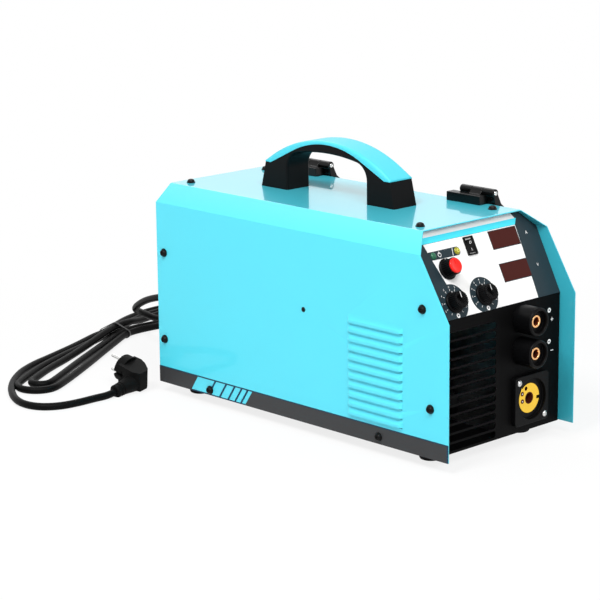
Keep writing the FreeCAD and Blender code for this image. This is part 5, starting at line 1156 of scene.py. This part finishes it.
def cap_under(y):
    """Height of the handle cap's underside, in millimetres over the top sheet."""
    shoulder, height = CAP_SHOULDER
    step, seat = CAP_STEP
    if y <= shoulder:
        arc = CAP_SEAT_ARC ** 2
        return height + math.sqrt(arc - y * y) - math.sqrt(arc - shoulder * shoulder)
    return max(seat, height - (y - shoulder) * (height - seat) / (step - shoulder))


class WELDER_OT_handle(bpy.types.Operator):
    """Round the handle's legs and crown its coloured cap"""

    bl_idname = "welder.handle"
    bl_label = "Handle"

    def execute(self, context):
        edge = context.scene.welder_sizes.handle_edge
        softened(
            "handle_base", "handle_legs", "case", "black", edge,
            segments=3, clamp=True,
        )
        half = CAP_HALF_WIDTH
        turns = [math.radians(18 * k) for k in range(6)]
        right = [
            (half - CAP_ROUND + CAP_ROUND * math.cos(a), CAP_THICK - CAP_ROUND * (1 - math.sin(a)))
            for a in turns
        ]
        left = [(-x, z) for x, z in reversed(right)]
        ring = [(half, 0)] + right + left + [(-half, 0)]
        stations = [-y for y in CAP_STATIONS] + list(reversed(CAP_STATIONS[:-1]))
        sections = [
            (y, cap_under(abs(y)), cap_top(abs(y)) - cap_under(abs(y))) for y in stations
        ]
        y, base, height = sections[0]
        squash = height / CAP_THICK
        cap = outline([(x, y, base + z * squash) for x, z in ring], closed=True)
        for (y, base, height), (next_y, next_base, next_height) in zip(sections, sections[1:]):
            step = (0, (next_y - y) * mm, (next_base - base) * mm)
            bpy.ops.mesh.extrude_region_move(TRANSFORM_OT_translate={"value": step})
            bpy.ops.transform.resize(
                value=(1, 1, next_height / height),
                center_override=(0, next_y * mm, next_base * mm),
            )
        outward()
        rounded(cap, SMALL_EDGE, angle=40)
        place = Matrix.Translation(case_point(0, HANDLE_MIDDLE, CASE_HEIGHT))
        settle(cap, "handle_crown", "case", "grip", place)
        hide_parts("handle_cap")
        return {"FINISHED"}


class WELDER_OT_hinges(bpy.types.Operator):
    """Round the hinge leaves and give the pins ring-shaped heads"""

    bl_idname = "welder.hinges"
    bl_label = "Hinges"

    def execute(self, context):
        edge = context.scene.welder_sizes.moulded_edge
        softened("hinge_leaves_top", "top_leaves", "case", "cast", edge)
        softened("hinge_leaves_door", "door_leaves", "door", "cast", edge)
        head = turned(
            [
                (0, 0.35), (0.9, 0.35), (1.15, 0.75), (1.8, 0.9), (2.3, 0.75), (2.5, 0.4),
                (2.5, -0.2), (2.4, -0.2), (2.4, -51), (2.5, -51), (2.5, -51.7), (1.8, -51.9),
                (0, -51.9),
            ],
            steps=32,
        )
        smooth(head)
        x, z = HINGE_AXIS
        places = [facing(case_point(x, y, z), (0, -1, 0), (0, 0, 1)) for y in HINGES]
        pins = repeat(head, places)
        settle(pins, "hinge_ring_pins", "case", "nickel")
        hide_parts("hinge_pins")
        return {"FINISHED"}


class WELDER_OT_print(bpy.types.Operator):
    """Lay the printed areas and marks on the slanted panel, and a line of painted shadow under the
    cover's lip
    """

    bl_idname = "welder.print"
    bl_label = "Panel print"

    def execute(self, context):
        rise = context.scene.welder_sizes.print_rise

        def lay(name, shape, layer, key):
            place = on_panel(0, 0, OVERLAY_FACE + (layer + 0.5) * rise / mm)
            return settle(shape, name, "case", key, place)

        white = [(-79.8, 85.6), (-76.9, 75.4), (-54, 0.9), (64.5, 0.9), (67.6, 60), (68.2, 85.6)]
        strip = [(-84.6, 85.9), (68.6, 85.9), (73.4, 92.9), (-81.2, 92.9)]
        silver = [(-79.8, 92.9), (71.4, 92.9), (67.2, 99.3), (-76.0, 99.3)]
        # A dark line along the top of the silver strip: painted shadow of the top cover's front lip
        shadow = [(-76.0, 99.3), (67.2, 99.3), (66.6, 100.2), (-75.7, 100.2)]
        lay("print_white_field", flat_shape([white], rise), 0, "white")
        lay("print_cyan_strip", flat_shape([strip], rise), 0, "strip")
        lay("print_silver_strip", flat_shape([silver], rise), 0, "silver")
        lay("painted_lip_shadow", flat_shape([shadow], rise), 0, "slate")
        lamp_bar = [(-76, 67.0)] + circle(*WARNING_LAMP, 4.9, 16, -90, 180) + [(-77.2, 76.4)]
        grounds = [lamp_bar]
        low = math.degrees(math.asin((VOLTAGE_KNOB[1] - 0.9) / SCALE_DISC))
        for u, v in SMALL_KNOBS:
            grounds.append(circle(u, v, SCALE_DISC, 40, -low, 180 + 2 * low))
        lay("print_dark_grounds", flat_shape(grounds, rise), 1, "slate")
        marks = []
        near, far = SCALE_MARKS
        for u, v in SMALL_KNOBS:
            for k in range(SCALE_COUNT):
                c, s = dial(k)
                if v + 16 * s > 1.4:
                    marks.append(bar(u + near * c, v + near * s, u + far * c, v + far * s, 0.5))
            marks += [circle(u, SIGN_HEIGHT, 2.6, 24), circle(u, SIGN_HEIGHT, 1.0, 16)]
        u, v = POWER_SIGN
        marks += [circle(u, v, 2.6, 24), circle(u, v, 1.9, 24), bar(u, v + 0.7, u, v + 3.7, 0.7)]
        marks.append(bar(-41.4, 67.4, -39.6, 75.6, 0.7))
        lines = flat_shape(marks, rise)
        words = [("A", 81.7, 74.4, 5.2), ("V", 81.7, 36.3, 5.2)]
        for u, v in SMALL_KNOBS:
            for k in range(1, SCALE_COUNT - 1):
                c, s = dial(k)
                words.append((str(k + 1), u + SCALE_NUMBERS * c, v + SCALE_NUMBERS * s, 2.9))
        lay("print_white_marks", merge([lines, letters(words, rise)]), 2, "white")
        return {"FINISHED"}


class WELDER_OT_displays(bpy.types.Operator):
    """Fit the two dark red display windows in their thin frames"""

    bl_idname = "welder.displays"
    bl_label = "Displays"

    def execute(self, context):
        across, up = DISPLAY_HALF
        corners = [(-across, -up), (across, -up), (across, up), (-across, up)]
        window = prism(corners, -1.2, 0.9)
        rounded(window, FINE_EDGE, 2)
        border = flat_shape(
            [
                [(x * 1.03, y * 1.07) for x, y in corners],
                [(x * 0.998, y * 0.997) for x, y in corners],
            ],
            0.0002,
        )
        places = [on_panel(u, v) for u, v in DISPLAYS]
        lenses = repeat(window, places)
        settle(lenses, "display_filters", "case", "display")
        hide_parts("display_windows")
        frames = repeat(border, [on_panel(u, v, 0.62) for u, v in DISPLAYS])
        settle(frames, "display_borders", "case", "slate")
        return {"FINISHED"}


class WELDER_OT_knobs(bpy.types.Operator):
    """Turn and flute the three knobs and add the red cap"""

    bl_idname = "welder.knobs"
    bl_label = "Knobs"

    def execute(self, context):
        skirt = turned(
            [
                (0, -11.5), (3, -11.5), (3, 0.8), (11.6, 0.8), (12, 1.2), (12, 2.3),
                (11.5, 3.0), (10.6, 3.4), (0, 3.4),
            ]
        )
        ring = []
        steps = KNOB_FLUTES * 6
        for k in range(steps):
            angle = math.tau * k / steps
            radius = 10.15 - 0.5 * max(0.0, math.cos(KNOB_FLUTES * angle)) ** 1.5
            ring.append((radius * math.cos(angle), radius * math.sin(angle)))
        barrel = prism(ring, 3.0, 12.8, 0.905)
        only(barrel)
        bpy.ops.object.mode_set(mode="EDIT")
        bpy.ops.mesh.select_mode(type="FACE")
        bpy.ops.mesh.select_all(action="DESELECT")
        bpy.ops.object.mode_set(mode="OBJECT")
        for face in barrel.data.polygons:
            face.select = face.normal.z > 0.9
        bpy.ops.object.mode_set(mode="EDIT")
        bpy.ops.mesh.inset(thickness=0.0008, depth=0.0009)
        bpy.ops.mesh.inset(thickness=0.0005, depth=0)
        bpy.ops.mesh.inset(thickness=0.0004, depth=-0.0004)
        bpy.ops.mesh.select_mode(type="VERT")
        bpy.ops.object.mode_set(mode="OBJECT")
        grip = merge([skirt, barrel])
        smooth(grip, 40)
        ridge = prism([(-0.75, 1.2), (0.75, 1.2), (0.75, 8.4), (-0.75, 8.4)], 13.0, 14.1)
        rounded(ridge, RIDGE_EDGE)
        line = prism([(-0.32, 1.8), (0.32, 1.8), (0.32, 8.2), (-0.32, 8.2)], 14.0, 14.2)
        foot = prism([(-0.4, 10.3), (0.4, 10.3), (0.4, 11.9), (-0.4, 11.9)], 2.3, 3.35)
        for node, (u, v), body, marked in (
            ("current_knob", CURRENT_KNOB, "current_dial", False),
            ("voltage_knob", VOLTAGE_KNOB, "voltage_dial", True),
            ("inductance_knob", INDUCTANCE_KNOB, "inductance_dial", True),
        ):
            place = on_panel(u, v)
            shell = twin(grip, place)
            if marked:
                shell = merge([shell, twin(ridge, place)])
            settle(shell, node + "_grip", body, "black")
            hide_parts(node)
            pieces = [twin(foot, place)] + ([twin(line, place)] if marked else [])
            mark = merge(pieces)
            settle(mark, node + "_mark", body, "white")
        cap = turned(
            [
                (0, 13.3), (8.2, 13.3), (8.4, 13.6), (8.4, 14.9), (8.1, 15.6), (7.4, 16.0),
                (6.6, 16.1), (6.2, 15.8), (0, 15.8),
            ]
        )
        smooth(cap, 50)
        pointer = prism([(-0.6, 1.0), (0.6, 1.0), (0.6, 6.0), (-0.6, 6.0)], 15.7, 16.3)
        rounded(pointer, POINTER_EDGE)
        whole = merge([cap, pointer])
        settle(
            whole, "red_cap", "current_dial", "red",
            on_panel(*CURRENT_KNOB),
        )
        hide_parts("current_knob_cap")
        for helper in (grip, ridge, line, foot):
            remove(helper)
        return {"FINISHED"}


class WELDER_OT_rocker(bpy.types.Operator):
    """Round the mode rocker and its frame and print its two marks"""

    bl_idname = "welder.rocker"
    bl_label = "Mode rocker"

    def execute(self, context):
        rise = context.scene.welder_sizes.print_rise
        softened(
            "rocker_frame", "rocker_bezel", "case", "gloss_black", BEZEL_EDGE
        )
        softened(
            "mode_rocker", "rocker_paddle", "mode_switch",
            "gloss_black", SMALL_EDGE,
        )
        u, v = ROCKER
        ring = flat_shape([circle(0, 0, 1.6, 24), circle(0, 0, 1.15, 24)], rise)
        stroke = flat_shape([bar(0, -1.5, 0, 1.5, 0.55)], rise)
        upper = on_panel(u, v + 3.3, 3.27) @ Matrix.Rotation(PADDLE_LEAN, 4, "X")
        lower = on_panel(u, v - 4.3, 2.22)
        marks = merge([twin(ring, upper), twin(stroke, lower)])
        settle(marks, "rocker_marks", "mode_switch", "white")
        for helper in (ring, stroke):
            remove(helper)
        return {"FINISHED"}


class WELDER_OT_lamps(bpy.types.Operator):
    """Turn the two signal lamps"""

    bl_idname = "welder.lamps"
    bl_label = "Lamps"

    def execute(self, context):
        for node, name, spot, radius, slot, key in (
            ("power_lamp", "green_lens", POWER_LAMP, 4.1, "green_lens", "green"),
            ("warning_lamp", "yellow_lens", WARNING_LAMP, 4.3, "yellow_lens", "yellow"),
        ):
            lens = turned(
                [
                    (0, 2.8), (radius * 0.35, 2.72), (radius * 0.66, 2.3), (radius * 0.88, 1.6),
                    (radius, 0.9), (radius, 0.5), (radius * 0.6, 0.5), (radius * 0.6, -7.5),
                    (0, -7.5),
                ],
                32,
            )
            smooth(lens, 50)
            settle(lens, name, "case", key, on_panel(*spot))
            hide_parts(node)
        ring = turned(
            [(1.0, 2.6), (1.2, 2.95), (1.7, 3.0), (2.1, 2.75), (2.1, 2.5), (1.0, 2.5)], 32
        )
        only(ring)
        bpy.ops.object.mode_set(mode="EDIT")
        outward()
        smooth(ring, 60)
        settle(
            ring, "yellow_lens_ring", "case", "lamp_ring",
            on_panel(*WARNING_LAMP),
        )
        return {"FINISHED"}


class WELDER_OT_sockets(bpy.types.Operator):
    """Round the output sockets and turn their bright contacts"""

    bl_idname = "welder.sockets"
    bl_label = "Output sockets"

    def execute(self, context):
        rise = context.scene.welder_sizes.print_rise
        softened(
            "socket_bodies", "socket_shells", "case", "black", SMALL_EDGE
        )
        contact = turned(
            [
                (0, -27), (4.5, -27), (4.5, -0.9), (4.8, 0.1), (5.2, 0.42), (6.2, 0.5),
                (6.9, 0.36), (7.3, 0.0), (7.3, -39), (4, -39), (4, -46), (0, -46),
            ]
        )
        smooth(contact, 50)
        bore = turned([(4.45, -1.6), (4.2, -1.6), (4.2, -26), (0, -26), (0, -26.5), (4.45, -26.5)])
        smooth(bore, 50)
        places = [facing(case_point(x, 0, z), (0, -1, 0), (0, 0, 1)) for x, z in SOCKETS]
        whole = repeat(contact, places)
        settle(whole, "output_contacts", "case", "contact")
        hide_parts("socket_contacts")
        bores = repeat(bore, places)
        settle(bores, "output_contact_bores", "case", "bore")
        marks = []
        for (x, z), plus in zip(SOCKET_SIGNS, (True, False)):
            marks += [circle(x, z, 2.7, 24), circle(x, z, 1.1, 16)]
            sx, sz = x + 4.9, z - 10.8
            marks.append(bar(sx - 2.2, sz, sx + 2.2, sz, 0.8))
            if plus:
                marks.append(bar(sx, sz + 0.45, sx, sz + 2.2, 0.8))
                marks.append(bar(sx, sz - 0.45, sx, sz - 2.2, 0.8))
        print_marks = flat_shape(marks, rise)
        settle(
            print_marks, "socket_marks", "case", "white",
            on_front(0, 0, rise / mm / 2),
        )
        return {"FINISHED"}


class WELDER_OT_torch(bpy.types.Operator):
    """Round the torch connector and add its contact pins, bushes and screws"""

    bl_idname = "welder.torch"
    bl_label = "Torch connector"

    def execute(self, context):
        x, z = TORCH
        softened(
            "torch_flange", "torch_plate", "case", "black",
            context.scene.welder_sizes.moulded_edge,
        )
        softened(
            "torch_block", "torch_face", "case", "brass", BRASS_EDGE
        )
        lining = turned(
            [
                (5.95, 1.2), (6.7, 1.72), (6.7, 1.78), (5.9, 1.7), (5.6, 1.0), (5.6, -19.6),
                (0, -19.6), (0, -20.1), (5.95, -20.1), (5.95, 1.2),
            ]
        )
        smooth(lining, 50)
        gas = turned([(2.25, 1.2), (2.1, 1.2), (2.1, -9), (0, -9), (0, -9.4), (2.25, -9.4)], 24)
        smooth(gas, 50)
        gas_place = on_front(x + TORCH_GAS[0], z + TORCH_GAS[1])
        settle(lining, "torch_bore", "case", "bore", on_front(x, z))
        settle(gas, "torch_gas_bore", "case", "bore", gas_place)
        pin = turned(
            [
                (0, 2.4), (0.6, 2.35), (0.95, 2.1), (1.0, 1.7), (1.0, 0.9), (1.55, 0.9),
                (1.55, -5.5), (0, -5.5),
            ],
            24,
        )
        smooth(pin, 50)
        bush = turned(
            [
                (1.1, 1.0), (1.1, 1.8), (1.4, 1.95), (2.3, 1.95), (2.6, 1.8), (2.6, 1.72),
                (1.55, 1.68), (1.55, 1.0), (1.1, 1.0),
            ],
            24,
        )
        smooth(bush, 50)
        places = [on_front(x + across, z + up) for across, up in TORCH_PINS]
        pins = repeat(pin, places)
        settle(pins, "torch_contact_pins", "case", "nickel")
        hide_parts("torch_pins")
        bushes = repeat(bush, places)
        settle(bushes, "torch_pin_bushes", "case", "bore")
        head = crossed(pan_head(3.4, 2.0, 1.45, 8.8), 1.9, 0.75, 0.9, 3.0)
        smooth(head, 30)
        spots = (
            (x - TORCH_SCREW_REACH, z + TORCH_SCREW_REACH),
            (x + TORCH_SCREW_REACH, z - TORCH_SCREW_REACH),
        )
        screws = repeat(head, [on_front(a, b, FLANGE_RISE) for a, b in spots])
        settle(screws, "flange_screws", "case", "nickel")
        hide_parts("torch_screws")
        return {"FINISHED"}


class WELDER_OT_screws(bpy.types.Operator):
    """Put cross-head screws in the covers"""

    bl_idname = "welder.screws"
    bl_label = "Cover screws"

    def execute(self, context):
        radius = context.scene.welder_sizes.screw_head / mm
        head = crossed(pan_head(radius, 4.3, 2.0, 9.0), 2.3, 1.0, 2.4, 5.0)
        smooth(head, 30)
        places = [on_left(y, z) for y, z in SIDE_SCREWS]
        places += [on_top(x, y) for x, y in TOP_SCREWS]
        screws = repeat(head, places)
        rivet = turned([(0, 1.3), (1.4, 1.2), (2.6, 0.7), (3, 0), (2, 0), (2, -1.2), (0, -1.2)], 24)
        smooth(rivet, 40)
        whole = merge([screws, repeat(rivet, [on_left(*RIVET)])])
        settle(whole, "cross_head_screws", "case", "screw")
        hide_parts("cover_screws")
        return {"FINISHED"}


class WELDER_OT_band(bpy.types.Operator):
    """Print the thin lines that frame the side band and its slanted openings"""

    bl_idname = "welder.band"
    bl_label = "Side band"

    def execute(self, context):
        rise = context.scene.welder_sizes.print_rise
        loops = [[(-469.6, 19.0), (-0.3, 19.0), (-0.3, 20.0), (-469.6, 20.0)]]
        half = BAND_LINE / 2 - 0.15
        for edge in STRIPE_EDGES:
            low = edge + (BAND_HEIGHT - 1.3) * BAND_LEAN
            high = edge + 1.1 * BAND_LEAN
            loops.append(
                [(-low - half, 1.3), (-low + half, 1.3), (-high + half, 18.9), (-high - half, 18.9)]
            )
        front = STRIPE_EDGES[-1] - 7.8 + BAND_HEIGHT * BAND_LEAN
        loops.append([(-412, 0.1), (-front, 0.1), (-front + 0.5, 1.2), (-411, 1.2)])
        loops.append([(-1.9, 0.1), (-0.3, 0.1), (-0.3, 18.9), (-1.9, 18.9)])
        lines = flat_shape(loops, rise)
        settle(
            lines, "band_lines", "case", "navy",
            on_left(0, 0, 0.3 + rise / mm / 2),
        )
        return {"FINISHED"}


class WELDER_OT_feet(bpy.types.Operator):
    """Turn the rounded rubber feet and their screws"""

    bl_idname = "welder.feet"
    bl_label = "Feet"

    def execute(self, context):
        foot = turned(
            [
                (2.4, 0), (13.5, 0), (13.4, -3), (13.0, -8.5), (12.6, -10.6), (11.8, -11.8),
                (10.6, -12.4), (9.6, -12.5), (6.6, -12.5), (6.1, -12.0), (6, -6.5), (2.4, -6.5),
                (2.4, 0),
            ]
        )
        smooth(foot, 40)
        feet = repeat(foot, [facing(case_point(x, y, 0), (0, 0, 1), (0, 1, 0)) for x, y in FEET])
        settle(feet, "round_feet", "case", "rubber")
        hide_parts("rubber_feet")
        return {"FINISHED"}


class WELDER_OT_latches(bpy.types.Operator):
    """Round the two quarter-turn latches of the door"""

    bl_idname = "welder.latches"
    bl_label = "Latches"

    def execute(self, context):
        for node, name, body in (
            ("latch_front", "front_quarter_turn", "front_latch"),
            ("latch_rear", "rear_quarter_turn", "rear_latch"),
        ):
            softened(node, name, body, "gloss_black", SMALL_EDGE)
        return {"FINISHED"}


class WELDER_OT_wire_bay(bpy.types.Operator):
    """Finish the wire feeder, the spool and its winding"""

    bl_idname = "welder.wire_bay"
    bl_label = "Wire bay"

    def execute(self, context):
        for node, name, body, slot, key, width in (
            ("feeder_frame", "feeder_plate", "case", "machined_steel", "steel", SMALL_EDGE),
            ("pressure_arm", "pressure_rocker", "arm", "black_plastic", "black", SMALL_EDGE),
            ("tension_lever", "tension_handle", "lever", "black_plastic", "black", SMALL_EDGE),
            ("wire_spool", "spool_flanges", "spool", "reel_plastic", "reel", BEZEL_EDGE),
            ("spool_axle", "spool_hub", "case", "black_plastic", "black", SMALL_EDGE),
            ("partition", "inner_wall", "case", "inner_steel", "zinc", FINE_EDGE),
            ("feed_motor", "motor_can", "case", "gloss_black", "gloss_black", MOTOR_EDGE),
        ):
            softened(node, name, body, key, width, clamp=True)
        width = WIRE_TURNS * WIRE_PITCH
        profile = [(WIRE_CORE, 0.0)]
        for k in range(WIRE_TURNS):
            for step, bulge in ((0.0, 0.0), (0.2, 0.42), (0.5, 0.62), (0.8, 0.42)):
                profile.append((WIRE_OUTSIDE + bulge, (k + step) * WIRE_PITCH))
        profile += [(WIRE_OUTSIDE, width), (WIRE_CORE, width), (WIRE_CORE, 0.0)]
        winding = turned(profile, 96)
        smooth(winding, 60)
        place = facing(case_point(25.0, 330, 120), (1, 0, 0), (0, 0, 1))
        settle(winding, "wire_turns", "spool", "wire", place)
        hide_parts("wire_winding")
        return {"FINISHED"}


class WELDER_OT_rear(bpy.types.Operator):
    """Round the fan, switch, gland and gas inlet at the rear"""

    bl_idname = "welder.rear"
    bl_label = "Rear fittings"

    def execute(self, context):
        for node, name, body, slot, key, width in (
            ("fan_frame", "fan_housing", "case", "black_plastic", "black", BEZEL_EDGE),
            ("switch_frame", "mains_bezel", "case", "gloss_black", "gloss_black", BEZEL_EDGE),
            ("power_rocker", "mains_paddle", "mains_switch", "red_plastic", "red", SMALL_EDGE),
            ("cable_gland", "gland_shell", "case", "black_plastic", "black", SMALL_EDGE),
            ("gas_valve", "gas_inlet", "case", "contact_brass", "brass", FINE_EDGE),
        ):
            softened(node, name, body, key, width, clamp=True)
        return {"FINISHED"}


def seen_directly(tree):
    """1 for what the camera sees, also in a reflection."""
    path = tree.nodes.new("ShaderNodeLightPath").outputs
    return calculate(tree, "MAXIMUM", path["Is Camera Ray"], path["Is Glossy Ray"])


class WELDER_OT_stage(bpy.types.Operator):
    """Add the pale floor, the soft lamps and the world"""

    bl_idname = "welder.stage"
    bl_label = "Stage"

    def execute(self, context):
        scene = context.scene
        scene.view_settings.view_transform = "Standard"
        clear()
        bpy.ops.mesh.primitive_plane_add(size=GROUND_SIZE, location=(0, 0, 0))
        ground = context.object
        ground.name = "studio_floor"
        material = bpy.data.materials.new("Pale floor")
        material.use_nodes = True
        tree = material.node_tree
        shader = tree.nodes["Principled BSDF"]
        shader.inputs["Base Color"].default_value = GROUND_COLOUR
        shader.inputs["Roughness"].default_value = 0.9
        shader.inputs["Specular IOR Level"].default_value = 0.1
        glow = add_node(tree, "ShaderNodeEmission", {"Color": (1, 1, 1, 1), "Strength": 1.0})
        place = tree.nodes.new("ShaderNodeTexCoord").outputs["Object"]
        reach = add_node(tree, "ShaderNodeVectorMath", feeds={0: place})
        reach.operation = "LENGTH"
        fade = add_node(
            tree,
            "ShaderNodeMapRange",
            {"From Min": 0.35, "From Max": 0.85, "To Min": 0.82, "To Max": 1.0},
            {"Value": reach.outputs["Value"]},
        )
        fade.interpolation_type = "SMOOTHSTEP"
        amount = calculate(tree, "MULTIPLY", seen_directly(tree), fade.outputs[0])
        feeds = {0: amount, 1: shader.outputs[0], 2: glow.outputs[0]}
        mix = add_node(tree, "ShaderNodeMixShader", feeds=feeds)
        link(tree, mix.outputs[0], tree.nodes["Material Output"].inputs["Surface"])
        ground.data.materials.append(material)
        for name, (spot, size, power) in LAMPS.items():
            bpy.ops.object.light_add(type="AREA", location=spot)
            lamp = context.object
            lamp.name = name
            lamp.data.size = size
            lamp.data.energy = power
            lamp.rotation_mode = "QUATERNION"
            lamp.rotation_quaternion = (-Vector(spot)).to_track_quat("-Z", "Y")
        world = bpy.data.worlds.new("Studio")
        scene.world = world
        world.use_nodes = True
        tree = world.node_tree
        tree.nodes.clear()
        soft, bright = (
            add_node(tree, "ShaderNodeBackground", {"Color": (1, 1, 1, 1), "Strength": light})
            for light in (SOFT_LIGHT, 1.0)
        )
        feeds = {0: seen_directly(tree), 1: soft.outputs[0], 2: bright.outputs[0]}
        mix = add_node(tree, "ShaderNodeMixShader", feeds=feeds)
        add_node(tree, "ShaderNodeOutputWorld", feeds={"Surface": mix.outputs[0]})
        return {"FINISHED"}


class WELDER_PT_panel(bpy.types.Panel):
    """Lists the steps that dress the machine"""

    bl_idname = "WELDER_PT_panel"
    bl_label = "Welder"
    bl_space_type = "VIEW_3D"
    bl_region_type = "UI"
    bl_category = "Welder"

    def draw(self, context):
        for step in STEPS:
            self.layout.operator(step.bl_idname)


STEPS = (
    WELDER_OT_camera,
    WELDER_OT_nodes,
    WELDER_OT_cord,
    WELDER_OT_case,
    WELDER_OT_louvres,
    WELDER_OT_handle,
    WELDER_OT_hinges,
    WELDER_OT_print,
    WELDER_OT_displays,
    WELDER_OT_knobs,
    WELDER_OT_rocker,
    WELDER_OT_lamps,
    WELDER_OT_sockets,
    WELDER_OT_torch,
    WELDER_OT_screws,
    WELDER_OT_band,
    WELDER_OT_feet,
    WELDER_OT_latches,
    WELDER_OT_wire_bay,
    WELDER_OT_rear,
    WELDER_OT_stage,
)
CLASSES = (WelderColours, WelderSizes, *STEPS, WELDER_PT_panel)


def register():
    for item in CLASSES:
        bpy.utils.register_class(item)
    bpy.types.Scene.welder_colours = bpy.props.PointerProperty(type=WelderColours)
    bpy.types.Scene.welder_sizes = bpy.props.PointerProperty(type=WelderSizes)


def unregister():
    del bpy.types.Scene.welder_colours
    del bpy.types.Scene.welder_sizes
    for item in reversed(CLASSES):
        bpy.utils.unregister_class(item)


def main():
    """Dress the machine."""
    register()
    for step in STEPS:
        getattr(bpy.ops.welder, step.bl_idname.split(".")[1])()
    clear()


if __name__ == "__main__":
    main()
